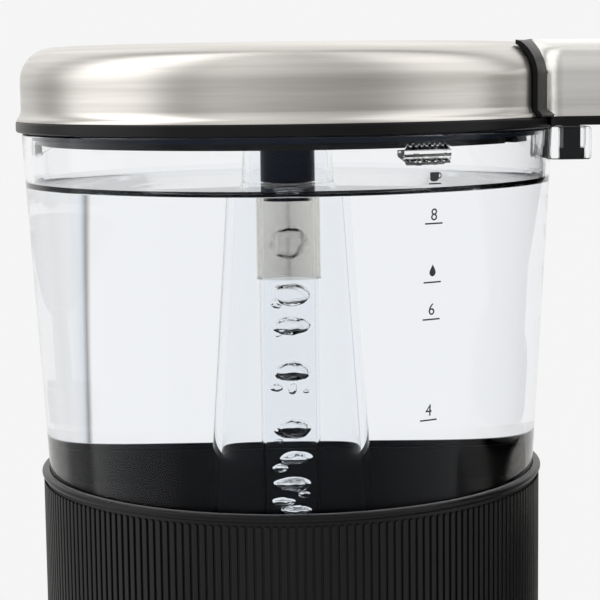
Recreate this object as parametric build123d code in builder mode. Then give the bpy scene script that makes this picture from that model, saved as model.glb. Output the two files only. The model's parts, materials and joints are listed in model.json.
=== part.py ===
from build123d import *
import os
from math import asin, atan2, cos, degrees, radians, sin, sqrt, tan

# Pour-over coffee maker: a heater tower with a clear water tank stands at the left of a flat base, and a
# steel-covered arm carries the hot water over a filter cone on an insulated jug at the right.
# Millimetres, +Z up, the front faces -Y, and the arm runs towards +X.
# The origin lies on the counter, in the middle of the outline.

os.makedirs("parts", exist_ok=True)

# Heights, spacing and clearances
lid_edge_z = 260.0
axis_gap = 140.0
running_gap = 0.3
fit_gap = 0.1
overrun = 1.0

# Lid cover and the ring that it stands on
lid_h = 17.4
lid_corner_r = 8.0
lid_lip_out = 1.1
lid_lip_h = 0.5
lid_flare_h = 1.7
steel_t = 0.8
ring_over = 1.3
ring_step = 1.3
ring_h = 2.6
ring_round_r = 0.5
skirt_t = 2.4
skirt_h = 3.1
skirt_cut_left = 0.8
skirt_cut_right = 5.0
notch_angle = -33.7
notch_w = 4.6
lid_floor_t = 2.0
lid_rib_t = 1.6
lid_rib_h = 4.0
gasket_out = 2.1
gasket_h = 1.6
gasket_gap = 0.4

# Arm over the jug
arm_half = 25.5
arm_h = 17.9
arm_edge_r = 8.0
flare_r = 5.5
brew_r = 46.0
neck_r = 20.0
saddle_t = 1.2
saddle_strip = 5.0
seam_w = 0.6
tray_t = 2.1
tray_rib_t = 1.6
tray_rib_h = 4.0

# Water channel from the riser to the shower head
channel_half = 8.0
channel_h = 9.0
channel_t = 1.4
channel_lift = 0.4
inlet_r = 4.2
inlet_bore_r = 3.0
inlet_drop = 8.0
outlet_r = 5.0
outlet_bore_r = 3.6
outlet_drop = 4.4
ear_r = 4.0
ear_y = 10.5
ear_h = 5.0
ear_x = 84.0
lid_ear_x = 30.0
connector_r = 6.7
connector_collar_r = 8.6
connector_drop = 15.6
nose_r = 4.3
nose_h = 3.0

# Shower head
shower_r = 33.0
shower_h = 6.0
shower_t = 1.4
shower_flange_r = 40.5
shower_flange_t = 1.6
shower_gasket_t = 0.8
shower_gasket_w = 4.0
shower_hole_r = 0.9
shower_ring_pitch = 8.0
shower_rings = 3
shower_screw_circle_r = 37.2
shower_screws_count = 3

# Tank
tank_top_drop = 2.9
tank_top_r = 64.5
tank_wall = 2.0
tank_floor_drop = 114.0
tank_floor_t = 2.5
tank_corner_r = 5.0
tank_heel_r = 2.0
tank_draw = 4.5
shoulder_drop = 84.6
spout_x = -26.0
spout_y = 16.0
spout_r = 5.0
spout_bore_r = 3.6
spout_len = 12.0
lug_h = 2.7
lug_depth = 3.2
lug_arc = 11.0
lug_drop = 6.1
lug_first_angle = -61.0
lug_count = 3

# Socket on the outside of the tank, and the arm's key in it
socket_into = 1.9
socket_proud = 9.0
socket_half = 9.0
socket_drop = 10.9
key_out = 4.5
key_w = 4.1
key_half = 5.6
key_foot_w = 6.0
key_foot_h = 2.4

# Riser in the middle of the tank
cone_top_r = 10.9
cone_foot_r = 16.4
cone_t = 1.6
cone_top_drop = 7.6
cone_flange = 1.8
cone_flange_t = 1.6
tube_r = 5.5
tube_bore_r = 4.7
tube_seat = 1.5
sleeve_r = 6.0
sleeve_len = 21.3
floor_hole_r = 7.6
fitting_r = 7.5
fitting_socket_h = 9.0
fitting_flange_r = 11.0
fitting_flange_t = 2.4
fitting_seal_t = 1.0
fitting_thread = 5.0
fitting_nut_r = 12.0
fitting_nut_h = 3.4
spigot_r = 4.0
spigot_bore_r = 3.0
spigot_len = 18.0
strainer_r = 9.0
strainer_h = 5.0
strainer_t = 1.2
strainer_slots = 8
strainer_slot_w = 1.6
strainer_slot_h = 2.4

# Tower housing, sleeve and rim
rim_ledge = 2.0
rim_h = 2.2
rim_round_r = 1.3
housing_t = 2.4
band_over = 1.5
band_t = 2.5
band_top_z = 48.0
band_floor_t = 2.0
ledge_t = 3.2
ledge_w = 6.9
sleeve_t = 2.1
rib_depth = 0.5
rib_gap_w = 0.62
rib_count = 210
rib_margin = 0.7
sleeve_taper_h = 13.0
post_r = 4.6
post_in = 4.3
post_angles = (35.0, 145.0, 215.0, 325.0)
vent_count = 9
vent_w = 1.8
vent_h = 12.0
vent_z = 29.0
vent_step = 6.0

# Base
foot_h = 3.0
foot_r = 8.0
foot_edge = 0.8
foot_plug_r = 3.0
foot_circle_r = 48.0
base_r = 63.5
base_top_z = 20.0
base_wall = 2.5
base_edge_r = 3.0
cover_t = 2.0
cover_vents = 7
cover_vent_w = 2.4
cover_vent_len = 34.0
cover_vent_pitch = 6.0
column_r = 4.0
column_circle_r = 51.5
gland_r = 4.2
gland_bore_r = 3.0
gland_flange_r = 6.0
gland_flange_t = 1.8
gland_pad_half = 9.0
gland_pad_t = 5.0
gland_z = 11.2
gland_nut_r = 6.0
gland_nut_t = 3.0
plate_r = 56.8
plate_t = 1.8
plate_sunk = 1.3
plate_round_r = 0.5

# Heater
heater_plate_z = 60.0
heater_plate_t = 1.2
heater_plate_gap = 0.4
heater_plate_hole_r = 22.0
heater_mid_r = 36.0
heater_w = 14.0
heater_h = 24.0
heater_edge_r = 3.0
heater_arc = 270.0
water_bore_up = 8.0
rod_bore_up = 19.0
rod_r = 3.3
rod_tail = 9.0
stub_len = 12.0
thermostat_r = 7.5
thermostat_h = 6.0
thermostat_flange_r = 9.5
thermostat_flange_t = 1.2
fuse_r = 2.0
fuse_len = 14.0
fuse_angles = (210.0, 330.0)

# Hoses, clamps and check valve
hose_bore_r = 4.05
hose_r = 6.2
hose_start = 2.0
hose_run = 24.0
hose_bend_r = 9.5
outlet_turn_z = 100.0
outlet_over_z = 107.0
outlet_end_z = 134.0
inlet_turn_z = 90.0
inlet_over_z = 95.0
inlet_end_z = 113.0
clamp_t = 1.1
clamp_w = 5.0
clamp_inset = 2.5
valve_r = 8.5
valve_top_gap = 2.5
valve_foot_z = 116.0
valve_floor_t = 2.0
valve_nipple_len = 13.0
ball_r = 4.0
ball_room_r = 6.2
ball_port_r = 2.8
ball_rise = 2.5
cage_slot_w = 2.0

# Power button, its light ring and its switch
button_z = 33.5
button_r = 8.5
button_proud = 1.2
button_t = 3.0
button_round_r = 0.8
button_travel = 1.5
button_stem_r = 3.0
button_stem_len = 6.5
light_r = 11.0
light_proud = 0.6
light_lip = 1.3
light_floor_t = 1.2
plunger_r = 1.8
plunger_len = 4.0
switch_w = 12.0
switch_t = 6.0
board_w = 44.0
board_h = 26.0
board_t = 1.6
board_post_x = 18.0
board_post_r = 3.0
board_screw_size = 0.8
relay_w = 18.0
relay_h = 13.0
relay_t = 10.0

# Terminal block
terminal_w = 32.0
terminal_d = 11.0
terminal_h = 10.0
terminal_y = 44.0
terminal_screw_r = 2.2
terminal_screw_deep = 1.4
terminal_count = 3

# Jug
jug_lift = 0.2
jug_r = 60.0
jug_wall = 0.8
jug_heel_r = 4.0
jug_cup_h = 9.0
jug_cup_t = 1.5
jug_shoulder_z = 158.0
jug_shoulder_r = 12.0
jug_neck_z = 172.0
jug_neck_fillet_r = 5.0
jug_neck_r = 42.0
jug_top_z = 185.0
jug_gap = 3.0
liner_seam_z = 150.0
collar_r = 46.5
collar_h = 12.0
collar_mouth_r = 36.5
collar_lip_t = 3.0
collar_round_r = 1.2
collar_boss_x = 60.0
collar_boss_t = 4.0
beak_out = 5.5
beak_half = 10.0
beak_h = 5.0
beak_groove_half = 4.0
beak_groove_deep = 1.6
handle_out = 98.0
handle_w = 24.0
handle_t = 12.0
handle_corner_r = 4.5
handle_bend_r = 18.0
handle_start_gap = 0.5
handle_foot_z = 76.0
handle_screw_x = 54.0
handle_screw_y = 6.0
bracket_half = 10.0
bracket_h = 20.0
bracket_t = 2.0
tongue_out = 9.0
tongue_half = 5.0
tongue_t = 4.0

# Filter cone
funnel_rim_r = 57.0
funnel_bead_out = 2.5
funnel_bead_h = 2.5
funnel_wall = 1.8
funnel_h = 68.0
funnel_under_shower = 7.0
funnel_throat_r = 14.0
funnel_spout_r = 10.0
funnel_spout_h = 8.0
funnel_hole_r = 2.2
funnel_hole_circle_r = 5.0
funnel_holes = 4
seat_r = 44.5
seat_t = 2.4
seat_ring_r = 36.0
seat_ring_h = 4.0
seat_ring_t = 2.0
funnel_ribs = 12
funnel_rib_arc = 2.4
funnel_rib_t = 1.2
funnel_rib_end = 7.0
tab_w = 22.0
tab_t = 2.4
tab_out = 5.0
gusset_t = 2.0
gusset_h = 24.0
gusset_foot = 8.0
gusset_count = 4

# Screws
screw_head_r = 3.2
screw_head_h = 1.5
screw_shank_r = 1.5
screw_len = 9.0
screw_slot_share = 0.62
screw_slot_w = 0.7
screw_slot_deep = 0.8
board_screw_len = 6.0

# Radii and places worked out from the sizes above
ring_r = tank_top_r + ring_over
lid_r = ring_r - ring_step
skirt_r = tank_top_r - tank_wall - gasket_gap - gasket_out
skirt_left = skirt_r - skirt_cut_left
skirt_right = skirt_r - skirt_cut_right
shoulder_r = tank_top_r - tank_draw
socket_in_x = tank_top_r - socket_into
socket_out_x = tank_top_r + socket_proud
key_x = tank_top_r + key_out
rim_r = shoulder_r + rim_ledge
rim_bore_r = shoulder_r + fit_gap
band_r = shoulder_r + band_over
band_bore_r = band_r - band_t
housing_r = band_r - sleeve_t - fit_gap
housing_bore_r = housing_r - housing_t
ledge_bore_r = housing_bore_r - ledge_w
post_circle_r = housing_bore_r - post_in
overall_w = ring_r + axis_gap + handle_out
tower_x = ring_r - overall_w / 2
stand_x = tower_x + axis_gap
middle_x = tower_x + axis_gap / 2
lid_top_z = lid_edge_z + lid_h
ring_low_z = lid_edge_z - ring_h
lid_floor_z = ring_low_z + lid_floor_t
tray_z = lid_edge_z - tray_t
shower_top_z = tray_z - shower_gasket_t
shower_low_z = shower_top_z - shower_h
channel_z = lid_edge_z + channel_lift
connector_low_z = lid_edge_z - connector_drop
tank_top_z = lid_edge_z - tank_top_drop
tank_floor_z = lid_edge_z - tank_floor_drop
tank_under_z = tank_floor_z - tank_floor_t
rim_top_z = lid_edge_z - shoulder_drop
sleeve_top_z = rim_top_z - rim_h
tank_slope = (tank_top_r - shoulder_r) / (tank_top_z - rim_top_z)
tube_top_z = connector_low_z - running_gap
tube_low_z = tank_under_z + tube_seat
cone_top_z = lid_edge_z - cone_top_drop
cover_top_z = foot_h + cover_t
plate_top_z = base_top_z - plate_sunk + plate_t
heater_low_z = heater_plate_z + heater_plate_t
heater_top_z = heater_low_z + heater_h
water_z = heater_low_z + water_bore_up
rod_z = heater_low_z + rod_bore_up
gap_half = (360 - heater_arc) / 2
valve_top_z = tank_under_z - valve_top_gap
spout_low_z = tank_under_z - spout_len
ball_z = valve_foot_z + valve_floor_t + sqrt(ball_r**2 - spigot_bore_r**2) + fit_gap
ball_room_top_z = ball_z + ball_rise + sqrt(ball_r**2 - ball_port_r**2) + running_gap
button_face_y = -band_r - button_proud
stem_end_y = button_face_y + button_t + button_stem_len
switch_y = stem_end_y + plunger_len / 2
board_y = switch_y + switch_t
light_bore_r = button_r + running_gap
light_floor_y = -sqrt(band_bore_r**2 - (light_r + light_lip) ** 2)
jug_foot_z = plate_top_z + jug_lift
jug_cup_z = jug_foot_z + jug_cup_t
jug_turn = atan2(jug_r - jug_neck_r, jug_neck_z - jug_shoulder_z)
liner_inset = jug_wall + jug_gap
collar_top_z = jug_top_z + collar_lip_t
handle_z = collar_top_z - collar_boss_t - handle_t / 2
handle_mid = handle_out - handle_t / 2
funnel_top_z = shower_low_z - funnel_under_shower
funnel_low_z = funnel_top_z - funnel_h
throat_z = funnel_low_z + funnel_spout_h
seat_z = collar_top_z + jug_lift
seat_top_z = seat_z + seat_t
funnel_slope = (funnel_rim_r - funnel_throat_r) / (funnel_top_z - throat_z)
clear_r = screw_shank_r + fit_gap

tower_axis = Axis((tower_x, 0, 0), (0, 0, 1))
stand_axis = Axis((stand_x, 0, 0), (0, 0, 1))


def cut_at(middle, angle):
    """An upright plane through a vertical axis, with the radius to its right and the height up."""
    across = (cos(radians(angle)), sin(radians(angle)), 0)
    return Plane(origin=(middle, 0, 0), x_dir=across, z_dir=(across[1], -across[0], 0))


def tower_cut(angle=0):
    return cut_at(tower_x, angle)


def stand_cut(angle=0):
    return cut_at(stand_x, angle)


def tower_at(height):
    return Plane(origin=(tower_x, 0, height))


def stand_at(height):
    return Plane(origin=(stand_x, 0, height))


def front_at(y):
    """A plane that faces the front, with its middle on the button's axis."""
    return Plane(origin=(tower_x, y, button_z), x_dir=(1, 0, 0), z_dir=(0, -1, 0))


def under(x, y, height):
    """A plane that faces down."""
    return Plane(origin=(x, y, height), x_dir=(1, 0, 0), z_dir=(0, 0, -1))


def around(radius, angle, middle=0):
    return (middle + radius * cos(radians(angle)), radius * sin(radians(angle)))


def tank_out(height):
    """The tank's outer radius at a height."""
    return tank_top_r - tank_slope * (tank_top_z - height)


def write(piece, name):
    piece.part.label = name
    export_step(piece.part, "parts/" + name + ".step")


def screw(place, length, size=1):
    """A pan-head screw, its head standing on the plane and its shank running behind it."""
    head = screw_head_r * size
    with BuildPart() as body:
        with BuildSketch(place):
            Circle(head)
        extrude(amount=screw_head_h * size)
        with BuildSketch(place):
            Circle(screw_shank_r * size)
        extrude(amount=-length)
        with BuildSketch(place.offset(screw_head_h * size)):
            Rectangle(2 * head * screw_slot_share, screw_slot_w)
            Rectangle(screw_slot_w, 2 * head * screw_slot_share)
        extrude(amount=-screw_slot_deep * size, mode=Mode.SUBTRACT)
    return body.part


def lid_form(grow, half_angle=180):
    """The lid's outside as a solid, grown on its side and top, all round or over a sector about +X."""
    wall = lid_r + grow
    lip = wall + lid_lip_out
    top = lid_top_z + grow
    with BuildPart() as form:
        with BuildSketch(tower_cut(-half_angle)):
            with BuildLine():
                FilletPolyline(
                    (0, lid_edge_z),
                    (lip, lid_edge_z),
                    (lip, lid_edge_z + lid_lip_h),
                    (wall, lid_edge_z + lid_flare_h),
                    (wall, top),
                    (0, top),
                    radius=(0, 0, 0, 0, lid_corner_r + grow, 0),
                    close=True,
                )
            make_face()
        revolve(axis=tower_axis, revolution_arc=2 * half_angle)
    return form.part


def arm_plan(grow, notch_r=0):
    """The outline of lid and arm from above, grown outwards, and cut back to the arm by a round notch."""
    with BuildSketch(Plane.XY) as plan:
        with Locations((tower_x, 0)):
            Circle(ring_r + grow)
        with Locations((middle_x, 0)):
            Rectangle(axis_gap, 2 * (arm_half + grow))
        with Locations((stand_x, 0)):
            Circle(brew_r + grow)
        horns = plan.vertices().filter_by_position(Axis.X, tower_x, stand_x).sort_by(Axis.X)[:2]
        fillet(horns, flare_r - grow)
        necks = plan.vertices().filter_by_position(Axis.X, tower_x, stand_x).sort_by(Axis.X)[-2:]
        fillet(necks, neck_r - grow)
        if notch_r > 0:
            with Locations((tower_x, 0)):
                Circle(notch_r, mode=Mode.SUBTRACT)
    return plan.sketch


def arm_form(grow, rise):
    """The outline of lid and arm drawn up as one block with its top edge rounded."""
    with BuildPart() as form:
        with BuildSketch(Plane.XY.offset(lid_edge_z)):
            add(arm_plan(grow))
        extrude(amount=arm_h + rise)
        fillet(form.faces().sort_by(Axis.Z)[-1].edges(), arm_edge_r + grow)
    return form.part


def jug_form(inset, foot_z, top_z):
    """The jug's body as a solid, drawn in from the outside of its steel."""
    sink = inset * tan(jug_turn / 2)
    heel_r = jug_heel_r - inset / 2
    with BuildPart() as form:
        with BuildSketch(stand_cut()):
            with BuildLine():
                FilletPolyline(
                    (0, foot_z),
                    (jug_r - inset, foot_z),
                    (jug_r - inset, jug_shoulder_z - sink),
                    (jug_neck_r - inset, jug_neck_z - sink),
                    (jug_neck_r - inset, top_z),
                    (0, top_z),
                    radius=(0, heel_r, jug_shoulder_r - inset, jug_neck_fillet_r + inset, 0, 0),
                    close=True,
                )
            make_face()
        revolve(axis=stand_axis)
    return form.part


def cone_out(height):
    """The filter cone's outer radius at a height."""
    return funnel_throat_r + funnel_slope * (height - throat_z)


def heater_end(side, height):
    """The plane of one end of the heater's horseshoe, facing out of it, at side 1 or -1."""
    across = side * sin(radians(gap_half))
    back = cos(radians(gap_half))
    spot = (tower_x + heater_mid_r * across, heater_mid_r * back, height)
    return Plane(origin=spot, x_dir=(0, 0, 1), z_dir=(-side * back, side * across, 0))


# Base shell: moulded top and side wall, six screw columns, the jug's recess and a flat for the cord gland
column_places = [
    around(column_circle_r, 135, tower_x),
    around(column_circle_r, 225, tower_x),
    around(column_circle_r, 45, stand_x),
    around(column_circle_r, 315, stand_x),
    (middle_x, column_circle_r),
    (middle_x, -column_circle_r),
]
post_places = [around(post_circle_r, angle, tower_x) for angle in post_angles]
gland_plane = Plane(origin=(tower_x, base_r, gland_z), x_dir=(-1, 0, 0), z_dir=(0, 1, 0))
with BuildPart() as base_shell:
    with BuildSketch(Plane.XY.offset(foot_h)):
        with Locations((middle_x, 0)):
            SlotCenterToCenter(axis_gap, 2 * base_r)
    extrude(amount=base_top_z - foot_h)
    fillet(base_shell.faces().sort_by(Axis.Z)[-1].edges(), base_edge_r)
    with BuildSketch(Plane.XY.offset(foot_h)):
        with Locations((middle_x, 0)):
            SlotCenterToCenter(axis_gap, 2 * (base_r - base_wall))
    extrude(amount=base_top_z - foot_h - base_wall, mode=Mode.SUBTRACT)
    with BuildSketch(gland_plane):
        Rectangle(2 * gland_pad_half, 2 * gland_flange_r)
    extrude(amount=-gland_pad_t)
    with BuildSketch(gland_plane):
        Circle(gland_r + fit_gap)
    extrude(amount=-gland_pad_t - overrun, mode=Mode.SUBTRACT)
    with BuildSketch(stand_at(base_top_z - plate_sunk)):
        Circle(plate_r + fit_gap)
    extrude(amount=plate_sunk + overrun, mode=Mode.SUBTRACT)
    with BuildSketch(Plane.XY.offset(cover_top_z)):
        with Locations(*column_places):
            Circle(column_r)
    extrude(amount=base_top_z - base_wall - cover_top_z)
    with BuildSketch(Plane.XY.offset(cover_top_z)):
        with Locations(*column_places):
            Circle(clear_r)
    extrude(amount=screw_len - cover_t + fit_gap, mode=Mode.SUBTRACT)
    with BuildSketch(Plane.XY.offset(base_top_z - base_wall)):
        with Locations(*post_places):
            Circle(clear_r)
    extrude(amount=base_wall + overrun, mode=Mode.SUBTRACT)
write(base_shell, "base_shell")

# Base cover: flat plate that closes the base from below, with vents under the tower
foot_places = [
    around(foot_circle_r, 105, tower_x),
    around(foot_circle_r, 255, tower_x),
    around(foot_circle_r, 75, stand_x),
    around(foot_circle_r, 285, stand_x),
]
with BuildPart() as base_cover:
    with BuildSketch(Plane.XY.offset(foot_h)):
        with Locations((middle_x, 0)):
            SlotCenterToCenter(axis_gap, 2 * (base_r - base_wall - fit_gap))
        with Locations(*column_places):
            Circle(clear_r, mode=Mode.SUBTRACT)
        with Locations(*foot_places):
            Circle(foot_plug_r + fit_gap, mode=Mode.SUBTRACT)
        with Locations((tower_x, 0)):
            with GridLocations(cover_vent_pitch, 0, cover_vents, 1):
                SlotOverall(cover_vent_len, cover_vent_w, rotation=90, mode=Mode.SUBTRACT)
    extrude(amount=cover_t)
write(base_cover, "base_cover")

# Rubber feet: four pads whose plugs snap through the cover
with BuildPart() as rubber_feet:
    with BuildSketch(Plane.XY):
        with Locations(*foot_places):
            Circle(foot_r)
    extrude(amount=foot_h)
    chamfer(rubber_feet.faces().group_by(Axis.Z)[0].edges(), foot_edge)
    with BuildSketch(Plane.XY.offset(foot_h)):
        with Locations(*foot_places):
            Circle(foot_plug_r)
    extrude(amount=cover_t)
write(rubber_feet, "rubber_feet")

# Screws that hold the cover to the base's columns
with BuildPart() as cover_screws:
    for x, y in column_places:
        add(screw(under(x, y, foot_h), screw_len))
write(cover_screws, "cover_screws")

# Screws that hold the tower's posts on the base
with BuildPart() as tower_screws:
    for x, y in post_places:
        add(screw(under(x, y, base_top_z - base_wall), screw_len))
write(tower_screws, "tower_screws")

# Stand plate: brushed steel disc that the jug stands on
with BuildPart() as stand_plate:
    with BuildSketch(stand_at(base_top_z - plate_sunk)):
        Circle(plate_r)
    extrude(amount=plate_t)
    fillet(stand_plate.faces().sort_by(Axis.Z)[-1].edges(), plate_round_r)
write(stand_plate, "stand_plate")

# Cord gland and its nut in the back wall of the base
with BuildPart() as cable_gland:
    with BuildSketch(gland_plane):
        Circle(gland_flange_r)
    extrude(amount=gland_flange_t)
    fillet(cable_gland.faces().sort_by(Axis.Y)[-1].edges(), gland_flange_t / 2)
    with BuildSketch(gland_plane):
        Circle(gland_r)
    extrude(amount=-gland_pad_t - gland_nut_t)
    with BuildSketch(gland_plane.offset(gland_flange_t)):
        Circle(gland_bore_r)
    extrude(amount=-gland_flange_t - gland_pad_t - gland_nut_t, mode=Mode.SUBTRACT)
write(cable_gland, "cable_gland")

with BuildPart() as gland_nut:
    with BuildSketch(gland_plane.offset(-gland_pad_t)):
        RegularPolygon(gland_nut_r, 6)
        Circle(gland_r + fit_gap, mode=Mode.SUBTRACT)
    extrude(amount=-gland_nut_t)
write(gland_nut, "gland_nut")

# Tower housing: round moulding with a plain band below, a ledge for the tank and four screw posts
post_end = sqrt(((housing_bore_r + housing_r) / 2) ** 2 - (board_post_x - board_post_r) ** 2)
with BuildPart() as tower_housing:
    with BuildSketch(tower_at(base_top_z)):
        Circle(band_r)
        Circle(housing_bore_r, mode=Mode.SUBTRACT)
    extrude(amount=band_top_z - base_top_z)
    with BuildSketch(tower_at(band_top_z)):
        Circle(housing_r)
        Circle(housing_bore_r, mode=Mode.SUBTRACT)
    extrude(amount=tank_under_z - band_top_z)
    with BuildSketch(tower_at(base_top_z)):
        Circle(band_bore_r)
    extrude(amount=band_top_z - band_floor_t - base_top_z, mode=Mode.SUBTRACT)
    with BuildSketch(tower_at(tank_under_z)):
        Circle(housing_bore_r)
        Circle(ledge_bore_r, mode=Mode.SUBTRACT)
    extrude(amount=-ledge_t)
    with BuildSketch(Plane.XY.offset(base_top_z)):
        with Locations(*post_places):
            Circle(post_r)
    extrude(amount=heater_plate_z - base_top_z)
    with BuildSketch(Plane.XY.offset(base_top_z)):
        with Locations(*post_places):
            Circle(clear_r)
    extrude(amount=screw_len, mode=Mode.SUBTRACT)
    with BuildSketch(Plane.XY.offset(heater_plate_z)):
        with Locations(*post_places):
            Circle(clear_r)
    extrude(amount=-screw_len, mode=Mode.SUBTRACT)
    with BuildSketch(front_at(board_y)):
        with Locations((-board_post_x, 0), (board_post_x, 0)):
            Circle(board_post_r)
    extrude(amount=board_y + post_end)
    with BuildSketch(front_at(board_y)):
        with Locations((-board_post_x, 0), (board_post_x, 0)):
            Circle(screw_shank_r * board_screw_size + fit_gap)
    extrude(amount=board_screw_len + fit_gap, mode=Mode.SUBTRACT)
    with BuildSketch(front_at(-band_r - overrun)):
        Circle(light_r + fit_gap)
    extrude(amount=-2 * (band_r - band_bore_r) - overrun, mode=Mode.SUBTRACT)
    for number in range(vent_count):
        turn = 90 + vent_step * (number - (vent_count - 1) / 2)
        across = around(1, turn)
        slot = Plane(
            origin=(*around(band_bore_r - overrun, turn, tower_x), vent_z + vent_h / 2),
            x_dir=(-across[1], across[0], 0),
            z_dir=(*across, 0),
        )
        with BuildSketch(slot):
            SlotOverall(vent_h, vent_w, rotation=90)
        extrude(amount=band_r - band_bore_r + 2 * overrun, mode=Mode.SUBTRACT)
write(tower_housing, "tower_housing")

# Ribbed sleeve: soft black skin round the tower with fine upright ribs between two plain edges
with BuildPart() as ribbed_sleeve:
    with BuildSketch(tower_at(band_top_z + rib_margin)):
        Circle(band_r)
        with PolarLocations(band_r, rib_count):
            Rectangle(2 * rib_depth, rib_gap_w, mode=Mode.SUBTRACT)
        Circle(band_r - rib_depth, mode=Mode.SUBTRACT)
    extrude(amount=sleeve_top_z - band_top_z - 2 * rib_margin)
    with BuildSketch(tower_cut()):
        with BuildLine():
            Polyline(
                (housing_r + fit_gap, band_top_z),
                (band_r - rib_depth, band_top_z),
                (band_r - rib_depth, sleeve_top_z),
                (rim_bore_r, sleeve_top_z),
                (housing_r + fit_gap, sleeve_top_z - sleeve_taper_h),
                close=True,
            )
        make_face()
    revolve(axis=tower_axis)
write(ribbed_sleeve, "ribbed_sleeve")

# Rim: satin ring on the sleeve's top, round the foot of the clear part of the tank
with BuildPart() as housing_rim:
    with BuildSketch(tower_at(sleeve_top_z)):
        Circle(rim_r)
        Circle(rim_bore_r, mode=Mode.SUBTRACT)
    extrude(amount=rim_h)
    fillet(housing_rim.faces().sort_by(Axis.Z)[-1].edges().sort_by(SortBy.LENGTH)[-1], rim_round_r)
write(housing_rim, "housing_rim")

# Tank: clear cone with a flat floor, an outlet spout, three stop lugs and the arm's socket outside
spout_places = [(spout_x, spout_y)]
with BuildPart() as tank:
    with BuildSketch(tower_cut()):
        with BuildLine():
            FilletPolyline(
                (floor_hole_r, tank_under_z),
                (tank_out(tank_under_z), tank_under_z),
                (tank_top_r, tank_top_z),
                (tank_top_r - tank_wall, tank_top_z),
                (tank_out(tank_floor_z) - tank_wall, tank_floor_z),
                (floor_hole_r, tank_floor_z),
                radius=(0, tank_heel_r, tank_wall / 4, tank_wall / 4, tank_corner_r, 0),
                close=True,
            )
        make_face()
    revolve(axis=tower_axis)
    with BuildSketch(tower_at(tank_under_z)):
        with Locations(*spout_places):
            Circle(spout_r)
    extrude(amount=-spout_len)
    with BuildSketch(tower_at(tank_floor_z + overrun)):
        with Locations(*spout_places):
            Circle(spout_bore_r)
    extrude(amount=spout_low_z - tank_floor_z - 2 * overrun, mode=Mode.SUBTRACT)
    lug_wall_r = tank_out(lid_edge_z - lug_drop - lug_h) - tank_wall / 2
    for number in range(lug_count):
        with BuildSketch(tower_cut(lug_first_angle + number * 360 / lug_count - lug_arc / 2)):
            with BuildLine():
                Polyline(
                    (lug_wall_r, lid_edge_z - lug_drop),
                    (lug_wall_r - tank_wall / 2 - lug_depth, lid_edge_z - lug_drop),
                    (lug_wall_r - tank_wall / 2 - lug_depth, lid_edge_z - lug_drop - lug_h / 2),
                    (lug_wall_r, lid_edge_z - lug_drop - lug_h),
                    close=True,
                )
            make_face()
        revolve(axis=tower_axis, revolution_arc=lug_arc)
    with BuildSketch(tower_at(tank_top_z)):
        with Locations(((socket_in_x + socket_out_x) / 2, 0)):
            Rectangle(socket_out_x - socket_in_x, 2 * socket_half)
    extrude(amount=lid_edge_z - socket_drop - tank_top_z)
    fillet(tank.edges().filter_by(Axis.Z).sort_by(Axis.X)[-2:], tank_wall / 2)
    with BuildSketch(tower_at(tank_top_z)):
        with Locations((key_x, 0)):
            Rectangle(key_foot_w + 2 * running_gap, 2 * (key_half + running_gap))
    extrude(amount=lid_edge_z - socket_drop - tank_top_z, mode=Mode.SUBTRACT)
write(tank, "tank")

# Riser guard: clear tapered chimney that stands on the tank's floor round the riser
with BuildPart() as riser_guard:
    with BuildSketch(tower_cut()):
        with BuildLine():
            Polyline(
                (cone_foot_r - cone_t, tank_floor_z),
                (cone_foot_r + cone_flange, tank_floor_z),
                (cone_foot_r + cone_flange, tank_floor_z + cone_flange_t),
                (cone_foot_r, tank_floor_z + cone_flange_t),
                (cone_top_r, cone_top_z),
                (cone_top_r - cone_t, cone_top_z),
                close=True,
            )
        make_face()
    revolve(axis=tower_axis)
write(riser_guard, "riser_guard")

# Riser tube: clear tube that lifts the hot water through the tank
with BuildPart() as riser_tube:
    with BuildSketch(tower_at(tube_low_z)):
        Circle(tube_r)
        Circle(tube_bore_r, mode=Mode.SUBTRACT)
    extrude(amount=tube_top_z - tube_low_z)
write(riser_tube, "riser_tube")

# Riser sleeve: cream silicone cuff on the tube's upper end
with BuildPart() as riser_sleeve:
    with BuildSketch(tower_at(tube_top_z)):
        Circle(sleeve_r)
        Circle(tube_r, mode=Mode.SUBTRACT)
    extrude(amount=-sleeve_len)
write(riser_sleeve, "riser_sleeve")

# Riser fitting: holds the tube over the floor's hole and ends below in a hose spigot
fitting_low_z = tank_under_z - fitting_thread
with BuildPart() as riser_fitting:
    with BuildSketch(tower_at(fitting_low_z)):
        Circle(fitting_r)
    extrude(amount=tank_floor_z + fitting_socket_h - fitting_low_z)
    with BuildSketch(tower_at(tank_floor_z + fitting_seal_t)):
        Circle(fitting_flange_r)
    extrude(amount=fitting_flange_t)
    with BuildSketch(tower_at(fitting_low_z)):
        Circle(spigot_r)
    extrude(amount=-spigot_len)
    with BuildSketch(tower_at(tube_low_z)):
        Circle(tube_r + fit_gap)
    extrude(amount=tank_floor_z + fitting_socket_h - tube_low_z, mode=Mode.SUBTRACT)
    with BuildSketch(tower_at(fitting_low_z - spigot_len)):
        Circle(spigot_bore_r)
    extrude(amount=tube_low_z - fitting_low_z + spigot_len, mode=Mode.SUBTRACT)
write(riser_fitting, "riser_fitting")

# Seal under the fitting's flange, and the nut that pulls the fitting down
with BuildPart() as riser_seal:
    with BuildSketch(tower_at(tank_floor_z)):
        Circle(fitting_flange_r)
        Circle(floor_hole_r, mode=Mode.SUBTRACT)
    extrude(amount=fitting_seal_t)
write(riser_seal, "riser_seal")

with BuildPart() as riser_nut:
    with BuildSketch(tower_at(tank_under_z)):
        RegularPolygon(fitting_nut_r, 6)
        Circle(fitting_r + fit_gap, mode=Mode.SUBTRACT)
    extrude(amount=-fitting_nut_h)
write(riser_nut, "riser_nut")

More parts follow.
